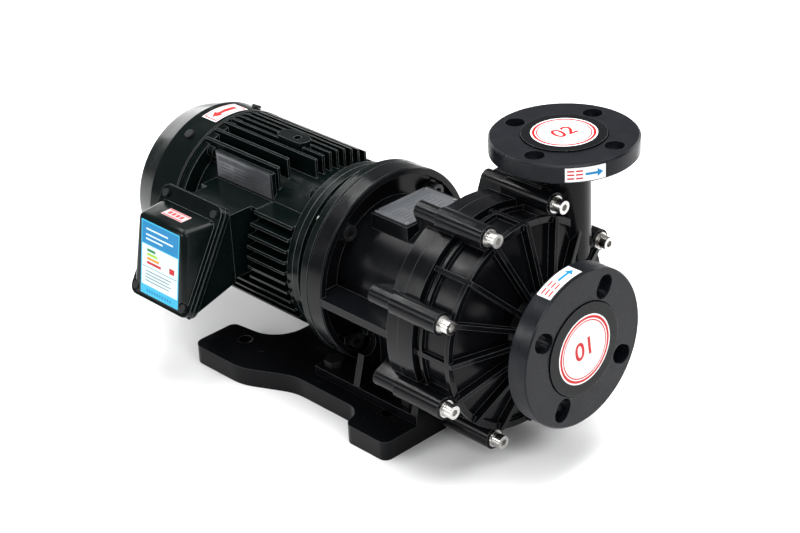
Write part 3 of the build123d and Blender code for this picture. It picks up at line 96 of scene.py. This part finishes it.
def set_stage():
    size = 6
    mesh = bpy.data.meshes.new("floor")
    corners = [(-size, -size, 0), (size, -size, 0), (size, size, 0), (-size, size, 0)]
    mesh.from_pydata(corners, [], [(0, 1, 2, 3)])
    floor = bpy.data.objects.new("floor", mesh)
    bpy.context.collection.objects.link(floor)
    mesh.materials.append(surface("floor_paint", (0.97, 0.97, 0.975), 0.8, mottle=0.01, bevel=0))
    world = bpy.data.worlds.new("studio")
    bpy.context.scene.world = world
    world.use_nodes = True
    world.node_tree.nodes["Background"].inputs["Color"].default_value = (1, 1, 1, 1)
    world.node_tree.nodes["Background"].inputs["Strength"].default_value = 0.3
    middle = (0, 0, 0.14)
    area_light("top_softbox", (0.2, 0.2, 1.7), middle, (1.6, 1.2), 50)
    area_light("front_softbox", (1.5, -0.5, 0.9), middle, (0.6, 0.9), 9)
    area_light("side_softbox", (-0.5, -1.5, 0.8), middle, (1.1, 0.5), 11)
    area_light("long_strip", (-0.85, -0.1, 1.3), middle, (1.2, 0.1), 7)
    area_light("far_softbox", (0.2, 1.7, 0.8), middle, (1.2, 0.5), 12)
    area_light("end_softbox", (-1.7, 0.5, 0.5), middle, (0.9, 0.9), 9)


# Materials
def surface(name, color, roughness, metallic=0.0, mottle=0.25, grain=900, grain_depth=0.05,
            wave_depth=0.0, wave_scale=60, bevel=0.6, spread=0.12, coat=0.0, dust=0.0, specular=0.5, wear_and_glint=0.0, wear_and_glint_tone=0.16):
    """A procedural finish: mottled colour, uneven gloss, grain, slow waves, rounded edges and lighter edges that are
    partly edge wear and partly painted highlight.
    """
    material = bpy.data.materials.new(name)
    material.use_nodes = True
    nodes, links = material.node_tree.nodes, material.node_tree.links
    shader = nodes["Principled BSDF"]
    shader.inputs["Metallic"].default_value = metallic
    shader.inputs["Specular IOR Level"].default_value = specular
    shader.inputs["Coat Weight"].default_value = coat
    shader.inputs["Coat Roughness"].default_value = 0.12
    place = nodes.new("ShaderNodeTexCoord")

    def noise(scale, detail=4.0):
        node = nodes.new("ShaderNodeTexNoise")
        node.inputs["Scale"].default_value = scale
        node.inputs["Detail"].default_value = detail
        links.new(place.outputs["Object"], node.inputs["Vector"])
        return node

    patches = noise(22, 6)
    tint = nodes.new("ShaderNodeMix")
    tint.data_type = "RGBA"
    tint.inputs["A"].default_value = (*[c * (1 - mottle) for c in color], 1)
    tint.inputs["B"].default_value = (*[min(c * (1 + mottle) + dust, 1) for c in color], 1)
    links.new(patches.outputs["Fac"], tint.inputs["Factor"])
    colored = tint.outputs["Result"]
    gloss = nodes.new("ShaderNodeMapRange")
    gloss.inputs["From Min"].default_value = 0.3
    gloss.inputs["From Max"].default_value = 0.7
    gloss.inputs["To Min"].default_value = max(roughness - spread, 0.03)
    gloss.inputs["To Max"].default_value = min(roughness + spread, 1)
    links.new(noise(45, 5).outputs["Fac"], gloss.inputs["Value"])
    links.new(gloss.outputs["Result"], shader.inputs["Roughness"])
    bump = nodes.new("ShaderNodeBump")
    bump.inputs["Strength"].default_value = 1
    bump.inputs["Distance"].default_value = grain_depth * mm
    links.new(noise(grain, 3).outputs["Fac"], bump.inputs["Height"])
    last = bump
    if wave_depth:
        wave = nodes.new("ShaderNodeBump")
        wave.inputs["Distance"].default_value = wave_depth * mm
        links.new(noise(wave_scale, 2).outputs["Fac"], wave.inputs["Height"])
        links.new(bump.outputs["Normal"], wave.inputs["Normal"])
        last = wave
    if bevel:
        rounding = nodes.new("ShaderNodeBevel")
        rounding.samples = 4
        rounding.inputs["Radius"].default_value = bevel * mm
        links.new(rounding.outputs["Normal"], bump.inputs["Normal"])
    # Edges mixed toward a light grey tone: partly edge wear, partly a painted highlight standing in for glints along
    # edges and rib crests.
    if bevel and wear_and_glint:
        flat = nodes.new("ShaderNodeNewGeometry")
        same = nodes.new("ShaderNodeVectorMath")
        same.operation = "DOT_PRODUCT"
        links.new(flat.outputs["Normal"], same.inputs[0])
        links.new(rounding.outputs["Normal"], same.inputs[1])
        edge = nodes.new("ShaderNodeMapRange")
        edge.inputs["From Min"].default_value = 0.98
        edge.inputs["From Max"].default_value = 0.8
        edge.inputs["To Max"].default_value = wear_and_glint
        links.new(same.outputs["Value"], edge.inputs["Value"])
        blend = nodes.new("ShaderNodeMix")
        blend.data_type = "RGBA"
        blend.inputs["B"].default_value = (wear_and_glint_tone, wear_and_glint_tone * 1.03, wear_and_glint_tone * 1.06, 1)
        links.new(edge.outputs["Result"], blend.inputs["Factor"])
        links.new(colored, blend.inputs["A"])
        colored = blend.outputs["Result"]
    links.new(colored, shader.inputs["Base Color"])
    links.new(last.outputs["Normal"], shader.inputs["Normal"])
    return material


def make_finishes():
    """One finish for each of the record's material slots."""
    # The edge settings lighten edges toward a light grey: partly edge wear, partly a painted highlight for glints on
    # edges.
    return {
        "black_moulding": surface("black_moulding", (0.003, 0.0033, 0.004), 0.2, mottle=0.35, specular=0.12,
                                  grain=700, grain_depth=0.025, wave_depth=0.12, wave_scale=35,
                                  bevel=0.9, spread=0.08, wear_and_glint=0.35, wear_and_glint_tone=0.22),
        "black_flange": surface("black_flange", (0.0055, 0.0062, 0.0085), 0.32, specular=0.15, grain=800,
                                grain_depth=0.03, wave_depth=0.05, wave_scale=30, bevel=0.8, wear_and_glint=0.25),
        "steel_fasteners": surface("steel_fasteners", (0.56, 0.55, 0.53), 0.28, metallic=1,
                                   grain=1500, grain_depth=0.03, bevel=0.3),
        "black_fasteners": surface("black_fasteners", (0.02, 0.021, 0.022), 0.35, metallic=0.6,
                                   grain=1500, grain_depth=0.03, bevel=0.4),
        "plate_silver": surface("plate_silver", (0.13, 0.135, 0.145), 0.4, metallic=0.6,
                                grain=1200, grain_depth=0.015, bevel=0.2),
        "wet_plastic": surface("wet_plastic", (0.03, 0.032, 0.035), 0.45, bevel=0.4),
        "rubber_seal": surface("rubber_seal", (0.012, 0.012, 0.012), 0.6, bevel=0.2),
        "ceramic": surface("ceramic", (0.8, 0.76, 0.68), 0.2, mottle=0.04, bevel=0.2),
        "carbon": surface("carbon", (0.03, 0.03, 0.031), 0.4, bevel=0.2),
        "white_ptfe": surface("white_ptfe", (0.82, 0.82, 0.79), 0.45, mottle=0.04, bevel=0.2),
        "machined_steel": surface("machined_steel", (0.42, 0.42, 0.43), 0.32, metallic=1, bevel=0.2),
        "magnet_metal": surface("magnet_metal", (0.35, 0.36, 0.38), 0.3, metallic=1, bevel=0.3),
        "copper": surface("copper", (0.48, 0.2, 0.08), 0.35, metallic=0.9, bevel=0.3),
        "motor_paint": surface("motor_paint", (0.0016, 0.0036, 0.0033), 0.18, mottle=0.35, specular=0.13,
                               grain=420, grain_depth=0.05, wave_depth=0.14, wave_scale=60,
                               bevel=0.9, spread=0.08, wear_and_glint=0.5, wear_and_glint_tone=0.3),
        "board_brown": surface("board_brown", (0.12, 0.05, 0.025), 0.5, bevel=0.3),
        "brass_studs": surface("brass_studs", (0.6, 0.42, 0.14), 0.3, metallic=1, bevel=0.2),
    }


def dress_frame(finishes):
    """Give every CAD node the finish of its material slot."""
    for part in frame["record"]["subparts"]:
        node = frame["nodes"][part["node"]]
        for socket in node.material_slots:
            socket.material = finishes[part["material_slot"]]


# Printed labels: thin closed slabs laid one on another over a surface
def flat_map(origin, across, up, out):
    """A map from label millimetres to a flat place in the frame."""
    return lambda u, v, h: origin + (across * u + up * v + out * h) * mm


def drum_map(centre, axis, radius, first_angle, zero, ninety):
    """A map that wraps a label round a drum: u goes round it and v along its axis."""
    def place(u, v, h):
        angle = math.radians(first_angle) + u * mm / radius
        reach = radius + h * mm
        return centre + axis * (v * mm) + (zero * math.cos(angle) + ninety * math.sin(angle)) * reach
    return place


class Label:
    """A sheet of layered shapes that becomes one mesh with a material for each ink."""

    def __init__(self, name, place, body, slot_name):
        self.name, self.place, self.body, self.slot_name = name, place, body, slot_name
        self.vertices, self.faces, self.inks, self.face_inks = [], [], [], []
        self.height = 0.12

    def slab(self, outline, ink, thickness=0.03, inner=None):
        """A closed slab over an outline, or between an outline and an inner one."""
        if ink not in self.inks:
            self.inks.append(ink)
        base, top = self.height - 0.02, self.height + thickness
        start = len(self.vertices)
        count = len(outline)
        rings = [(outline, base), (outline, top)]
        if inner:
            rings += [(inner, base), (inner, top)]
        for ring, level in rings:
            self.vertices += [self.place(u, v, level) for u, v in ring]
        new = []
        for i in range(count):
            j = (i + 1) % count
            a, b, c, d = start + i, start + j, start + count + j, start + count + i
            new.append((a, b, c, d))
            if inner:
                e, f = start + 2 * count + i, start + 2 * count + j
                g, h = start + 3 * count + j, start + 3 * count + i
                new += [(f, e, h, g), (d, c, g, h), (b, a, e, f)]
        if not inner:
            new.append(tuple(start + count + i for i in range(count)))
            new.append(tuple(start + i for i in reversed(range(count))))
        self.faces += new
        self.face_inks += [self.inks.index(ink)] * len(new)

    def bar(self, left, low, width, height, ink, thickness=0.03):
        """A rectangle cut into narrow strips, so that it can follow a curve."""
        strips = max(1, round(width / 3))
        step = width / strips
        for k in range(strips):
            x = left + k * step
            self.slab([(x, low), (x + step, low), (x + step, low + height), (x, low + height)],
                      ink, thickness)

    def arrow_head(self, base, tip, half_height, ink):
        """A triangle from its base to its tip, cut into narrow strips."""
        strips = max(1, round(abs(tip - base)))
        for k in range(strips):
            near, far = k / strips, (k + 1) / strips
            x_near, x_far = base + (tip - base) * near, base + (tip - base) * far
            h_near, h_far = half_height * (1 - near), half_height * (1 - far) + 0.01
            self.slab([(x_near, -h_near), (x_far, -h_far), (x_far, h_far), (x_near, h_near)], ink)

    def sheet(self, left, low, width, height, ink):
        """The label's own paper, in one piece, stepped finely along its length."""
        steps = max(2, round(width / 2))
        lower = [(left + width * k / steps, low) for k in range(steps + 1)]
        upper = [(u, low + height) for u, v in reversed(lower)]
        if ink not in self.inks:
            self.inks.append(ink)
        start = len(self.vertices)
        outline = lower + upper
        for level in (0.0, self.height):
            self.vertices += [self.place(u, v, level) for u, v in outline]
        count = len(outline)
        new = []
        for k in range(steps):
            a, b = start + k, start + k + 1
            c, d = start + count - 2 - k, start + count - 1 - k
            new.append((a, d, c, b))
            new.append((a + count, b + count, c + count, d + count))
        for i in range(count):
            j = (i + 1) % count
            new.append((start + i, start + j, start + count + j, start + count + i))
        self.faces += new
        self.face_inks += [self.inks.index(ink)] * len(new)

    def disc(self, radius, ink, hole=0.0, sides=72):
        outline = [(radius * math.cos(2 * math.pi * k / sides), radius * math.sin(2 * math.pi * k / sides))
                   for k in range(sides)]
        inner = [(u * hole / radius, v * hole / radius) for u, v in outline] if hole else None
        self.slab(outline, ink, inner=inner)

    def digits(self, text, size, ink, turn=0.0, shift=(0, 0)):
        """Plain digits, drawn with Blender's own font."""
        if ink not in self.inks:
            self.inks.append(ink)
        curve = bpy.data.curves.new(self.name + "_digits", "FONT")
        curve.body = text
        curve.size = size
        curve.align_x = "CENTER"
        curve.align_y = "CENTER"
        curve.extrude = 0.02
        curve.offset = 0.45
        holder = bpy.data.objects.new(curve.name, curve)
        bpy.context.collection.objects.link(holder)
        bpy.context.view_layer.update()
        mesh = bpy.data.meshes.new_from_object(holder)
        start = len(self.vertices)
        spin = Matrix.Rotation(math.radians(turn), 2)
        for vertex in mesh.vertices:
            u, v = spin @ Vector(vertex.co[:2])
            self.vertices.append(self.place(u + shift[0], v + shift[1], self.height + vertex.co[2]))
        self.faces += [tuple(start + i for i in face.vertices) for face in mesh.polygons]
        self.face_inks += [self.inks.index(ink)] * len(mesh.polygons)
        bpy.data.objects.remove(holder)
        bpy.data.meshes.remove(mesh)
        bpy.data.curves.remove(curve)

    def finish(self, inks):
        mesh = bpy.data.meshes.new(self.name)
        mesh.from_pydata([tuple(v) for v in self.vertices], [], self.faces)
        for ink in self.inks:
            mesh.materials.append(inks[ink])
        for face, ink in zip(mesh.polygons, self.face_inks):
            face.material_index = ink
        mesh.update()
        piece = bpy.data.objects.new(self.name, mesh)
        bpy.context.collection.objects.link(piece)
        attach(piece, self.body)
        return piece


def make_inks():
    """Printed paper and its inks."""
    def ink(name, color, roughness=0.4):
        return surface("ink_" + name, color, roughness, mottle=0.06, grain=1500,
                       grain_depth=0.006, bevel=0, specular=0.2)
    return {
        "white": ink("white", (0.8, 0.8, 0.8)),
        "red": ink("red", (0.5, 0.006, 0.008)),
        "blush": ink("blush", (0.62, 0.42, 0.43)),
        "rose": ink("rose", (0.7, 0.25, 0.26)),
        "blue": ink("blue", (0.002, 0.19, 0.42)),
        "sky": ink("sky", (0.03, 0.4, 0.62)),
        "pale": ink("pale", (0.62, 0.78, 0.84)),
        "green": ink("green", (0.01, 0.2, 0.04)),
        "lime": ink("lime", (0.3, 0.55, 0.02)),
        "amber": ink("amber", (0.8, 0.28, 0.01)),
        "grey": ink("grey", (0.06, 0.065, 0.07)),
            }


def largest_face(node, direction):
    """The middle and outward normal of a node's largest flat face toward a direction."""
    mesh = frame["nodes"][node].data
    groups = {}
    for face in mesh.polygons:
        if face.normal.dot(direction) > 0.8:
            key = tuple(round(c, 2) for c in face.normal) + (round(face.normal.dot(face.center), 4),)
            groups.setdefault(key, []).append(face)
    best = max(groups.values(), key=lambda faces: sum(f.area for f in faces))
    area = sum(f.area for f in best)
    middle = sum((f.center * f.area for f in best), Vector()) / area
    return middle, best[0].normal.copy()


# Port stickers: a white disc with two red rings and a plain port number
def port_sticker(name, place, radius, text, digit_size, turn, inks):
    label = Label(name, place, "pump", "printed_paper")
    label.height = 0.1
    label.disc(radius, "white")
    label.height = 0.13
    label.disc(radius - 1.5, "red", hole=radius - 4.0)
    label.disc(radius - 5.2, "red", hole=radius - 6.4)
    label.digits(text, digit_size, "red", turn=turn)
    return label.finish(inks)


def port_stickers(inks):
    x_axis, y_axis, z_axis = Vector((1, 0, 0)), Vector((0, 1, 0)), Vector((0, 0, 1))
    inlet = flat_map(Vector((casing_high[0], 0, shaft_z)), y_axis, z_axis, x_axis)
    port_sticker("inlet_port_sticker", inlet, 34.4, "01", 26, 7, inks)
    outlet = flat_map(Vector((outlet_x, outlet_y, casing_high[2])), x_axis, y_axis, z_axis)
    port_sticker("outlet_port_sticker", outlet, 31, "02", 24, 80, inks)


# Rim stickers: a white strip with a red mark and a blue arrow
def rim_sticker(name, place, body, length, width, inks):
    label = Label(name, place, body, "printed_paper")
    label.height = 0.1
    label.sheet(-length / 2, -width / 2, length, width, "white")
    label.height = 0.13
    third = length / 3
    stroke = width * 0.11
    for column in (0, 1):
        left = -third * 1.35 + column * third * 0.62
        for level in (-0.32, -0.05, 0.21):
            label.bar(left, width * level, third * 0.5, stroke, "red")
    label.bar(-third * 0.05, -width * 0.09, third * 0.95, width * 0.18, "blue")
    label.arrow_head(third * 0.85, third * 1.3, width * 0.3, "blue")
    return label.finish(inks)


def rim_stickers(inks):
    x_axis, y_axis, z_axis = Vector((1, 0, 0)), Vector((0, 1, 0)), Vector((0, 0, 1))
    inlet_middle = Vector(((inlet_low[0] + inlet_high[0]) / 2, 0, shaft_z))
    inlet = drum_map(inlet_middle, -x_axis, inlet_radius, 105, y_axis, z_axis)
    rim_sticker("inlet_rim_sticker", lambda u, v, h: inlet(-u, v, h), "inlet_ring", 44, 16, inks)
    outlet_middle = Vector((outlet_x, outlet_y, (outlet_low[2] + outlet_high[2]) / 2))
    outlet = drum_map(outlet_middle, z_axis, outlet_radius, 328, x_axis, y_axis)
    rim_sticker("outlet_rim_sticker", outlet, "outlet_ring", 38, 13.5, inks)


# Arrow sticker over the fan cover
def arrow_sticker(inks):
    x_axis, y_axis, z_axis = Vector((1, 0, 0)), Vector((0, 1, 0)), Vector((0, 0, 1))
    radius = (cover_high[1] - cover_low[1]) / 2
    middle = Vector((-0.203, 0, shaft_z))
    drum = drum_map(middle, x_axis, radius, 89, y_axis, z_axis)
    label = Label("fan_cover_arrow", lambda u, v, h: drum(-u, v, h), "pump", "printed_paper")
    label.height = 0.1
    label.sheet(-22, -11, 44, 22, "white")
    label.height = 0.13
    for edge in (-9.8, 8.2):
        label.bar(-20.5, edge, 41, 1.6, "red")
    for edge in (-20.5, 18.9):
        label.bar(edge, -8.2, 1.6, 16.4, "red")
    for row in range(5):
        label.bar(-1, -6.6 + 2.9 * row, 18, 1.4, "rose")
    label.height = 0.16
    label.bar(-8, -2.6, 22, 5.2, "red")
    label.arrow_head(-8, -17.5, 7, "red")
    return label.finish(inks)


# Terminal cover: a hollow lid with broad rounded edges on its rim, in place of the plainer solid
lid_tilt = math.radians(30)
lid_out = Vector((0, -math.cos(lid_tilt), math.sin(lid_tilt)))
lid_up = Vector((0, math.sin(lid_tilt), math.cos(lid_tilt)))
gasket_low, gasket_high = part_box("cover_gasket")
gasket_half = 0.6
lid_origin = (Vector(gasket_low) + Vector(gasket_high)) / 2 - lid_out * gasket_half * mm
lid_place = flat_map(lid_origin, Vector((1, 0, 0)), lid_up, lid_out)
lid_half_width = 46
lid_half_height = 57.5
lid_corner = 10
lid_rim_low = 1.2
lid_rim_high = 5.7
lid_screw_inset = 9
lid_screw_radius = 2.4
lid_well_radius = 5.5
lid_well_top = 40
lid_rounding = 6
lid_wall = 3.1
lid_body_half_width = 42
lid_side_slope = math.tan(math.radians(9.5))
lid_profile = [(44.17, 1.5), (24.02, 36.39), (-54.92, 5.53), (-52.59, 1.5)]
lid_hollow_profile = [(41.57, 0), (22.71, 32.66), (-40, 8.14), (-40, 0)]


def object_from(name, form):
    """An object made of a bmesh, whose faces all look outward."""
    bmesh.ops.recalc_face_normals(form, faces=form.faces)
    mesh = bpy.data.meshes.new(name)
    form.to_mesh(mesh)
    form.free()
    piece = bpy.data.objects.new(name, mesh)
    bpy.context.collection.objects.link(piece)
    return piece


def add_prism(form, outline, low, high):
    """Add a closed prism over an outline of (u, v), from one height to another."""
    rings = [[form.verts.new(lid_place(u, v, w)) for u, v in outline] for w in (low, high)]
    form.faces.new(rings[0])
    form.faces.new(rings[1])
    count = len(outline)
    for i in range(count):
        j = (i + 1) % count
        form.faces.new((rings[0][i], rings[0][j], rings[1][j], rings[1][i]))


def add_wedge(form, profile, half_width):
    """Add the lid's hipped form over a side profile of (v, w), narrower as it rises."""
    sides = []
    for side in (-1, 1):
        sides.append([form.verts.new(lid_place(side * (half_width - lid_side_slope * w), v, w))
                      for v, w in profile])
    form.faces.new(sides[0])
    form.faces.new(sides[1])
    for i in range(len(profile)):
        j = (i + 1) % len(profile)
        form.faces.new((sides[0][i], sides[0][j], sides[1][j], sides[1][i]))
    return sides


def round_outline(half_width, half_height, radius, steps=10):
    """A rectangle with rounded corners, as (u, v) points."""
    points = []
    for corner, (x, y) in enumerate(((1, 1), (-1, 1), (-1, -1), (1, -1))):
        for k in range(steps + 1):
            angle = math.pi / 2 * (corner + k / steps)
            points.append((x * (half_width - radius) + radius * math.cos(angle),
                           y * (half_height - radius) + radius * math.sin(angle)))
    return points


def screw_cutter(name, radius, low, high):
    """Round bars at the lid's four screws."""
    form = bmesh.new()
    sides = 48
    for x in (-1, 1):
        for y in (-1, 1):
            centre_u = x * (lid_half_width - lid_screw_inset)
            centre_v = y * (lid_half_height - lid_screw_inset)
            ring = [(centre_u + radius * math.cos(2 * math.pi * k / sides),
                     centre_v + radius * math.sin(2 * math.pi * k / sides)) for k in range(sides)]
            add_prism(form, ring, low, high)
    return object_from(name, form)


def combine(piece, other, operation):
    """Join or cut a piece with another, which is then removed."""
    step = piece.modifiers.new(other.name, "BOOLEAN")
    step.operation = operation
    step.solver = "EXACT"
    step.object = other
    bpy.context.view_layer.update()
    result = bpy.data.meshes.new_from_object(piece.evaluated_get(bpy.context.evaluated_depsgraph_get()))
    piece.modifiers.clear()
    old = piece.data
    piece.data = result
    bpy.data.meshes.remove(old)
    bpy.data.objects.remove(other)


def terminal_lid(finishes):
    form = bmesh.new()
    add_prism(form, round_outline(lid_half_width, lid_half_height, lid_corner), lid_rim_low, lid_rim_high)
    piece = object_from("terminal_lid", form)
    form = bmesh.new()
    left, right = add_wedge(form, lid_profile, lid_body_half_width)
    pairs = ((left[0], left[1]), (left[1], left[2]), (right[0], right[1]), (right[1], right[2]), (left[1], right[1]))
    edges = [form.edges.get(pair) for pair in pairs]
    bmesh.ops.bevel(form, geom=edges, offset=lid_rounding * mm, segments=8, profile=0.5, affect="EDGES")
    combine(piece, object_from("lid_body", form), "UNION")
    form = bmesh.new()
    add_wedge(form, lid_hollow_profile, lid_body_half_width - lid_wall)
    combine(piece, object_from("lid_hollow", form), "DIFFERENCE")
    combine(piece, screw_cutter("lid_holes", lid_screw_radius, 0, lid_rim_high + 0.1), "DIFFERENCE")
    combine(piece, screw_cutter("lid_wells", lid_well_radius, lid_rim_high, lid_well_top), "DIFFERENCE")
    piece.data.shade_smooth()
    piece.data.set_sharp_from_angle(angle=math.radians(25))
    piece.data.materials.clear()
    piece.data.materials.append(finishes["motor_paint"])
    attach(piece, "pump")
    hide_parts("terminal_cover")


# Coloured label on the terminal cover, with bands, bars and lines that say nothing
def cover_label(inks):
    middle, normal = largest_face("terminal_cover", Vector((0, -1, 0.1)).normalized())
    across = Vector((1, 0, 0))
    up = normal.cross(across).normalized()
    origin = Vector((-0.1145, middle[1], middle[2]))
    label = Label("cover_label", flat_map(origin, across, up, normal), "pump", "printed_paper")
    label.height = 0.1
    label.sheet(-29.5, -39, 59, 78, "sky")
    label.height = 0.13
    label.bar(-28, 15, 56, 22.5, "blue")
    label.bar(-28, -29, 56, 43, "pale")
    label.height = 0.17
    for row, width in ((30, 34), (24, 42), (19.5, 26)):
        label.bar(-22, row, width, 1.6, "pale")
    for step, (ink, length) in enumerate((("green", 13), ("lime", 16), ("amber", 19), ("red", 22))):
        label.bar(-20, 7.5 - 4.4 * step, length, 2.8, ink)
    label.bar(15, -5.5, 8, 6, "red")
    label.bar(-27, -9.5, 54, 0.6, "grey")
    for row in range(4):
        label.bar(-22, -14 - 3.4 * row, 40 - 3 * (row % 2), 0.9, "grey")
    for stripe in range(10):
        label.bar(-20 + 4 * stripe, -36, 2.2, 3, "blue")
    label.finish(inks)


def top_label(inks):
    """The small pink and white sticker on top of the terminal cover."""
    middle, normal = largest_face("terminal_cover", Vector((0, 0, 1)))
    across, up = Vector((1, 0, 0)), Vector((0, 1, 0))
    label = Label("terminal_top_label", flat_map(middle, across, up, normal), "pump", "printed_paper")
    label.height = 0.1
    label.sheet(-16, -6.5, 32, 13, "blush")
    label.height = 0.13
    for edge in (-5.8, 4.6):
        label.bar(-15, edge, 30, 1.2, "red")
    for k in range(4):
        label.bar(-11 + 6 * k, -2.4, 3.6, 4.8, "red")
    label.finish(inks)


# Name plates with ruled fields
def ruled_plate(name, place, width, height, rows, inks):
    label = Label(name, place, "pump", "plate_silver")
    label.height = 0.03
    rule = 0.45
    label.bar(-width / 2, -height / 2, width, rule, "grey")
    label.bar(-width / 2, height / 2 - rule, width, rule, "grey")
    label.bar(-width / 2, height / 2 - height * 0.24, width, height * 0.2, "grey")
    pitch = height * 0.72 / rows
    for row in range(rows):
        low = -height / 2 + pitch * (row + 0.35)
        label.bar(-width * 0.46, low, width * 0.2, pitch * 0.28, "grey")
        label.bar(-width * 0.2, low, width * (0.24 + 0.03 * (row % 3)), pitch * 0.28, "grey")
        label.bar(width * 0.18, low, width * (0.22 + 0.04 * (row % 2)), pitch * 0.28, "grey")
    label.finish(inks)


def name_plates(inks):
    x_axis, y_axis, z_axis = Vector((1, 0, 0)), Vector((0, 1, 0)), Vector((0, 0, 1))
    top = Vector(((plate_low[0] + plate_high[0]) / 2, 0, plate_high[2]))
    ruled_plate("bracket_plate_print", flat_map(top, y_axis, -x_axis, z_axis), 56, 36, 5, inks)
    side = Vector(((badge_low[0] + badge_high[0]) / 2, badge_low[1], (badge_low[2] + badge_high[2]) / 2))
    ruled_plate("motor_plate_print", flat_map(side, x_axis, z_axis, -y_axis), 76, 22, 4, inks)


set_camera()
finishes = make_finishes()
dress_frame(finishes)
set_stage()
inks = make_inks()
port_stickers(inks)
rim_stickers(inks)
arrow_sticker(inks)
terminal_lid(finishes)
cover_label(inks)
top_label(inks)
name_plates(inks)
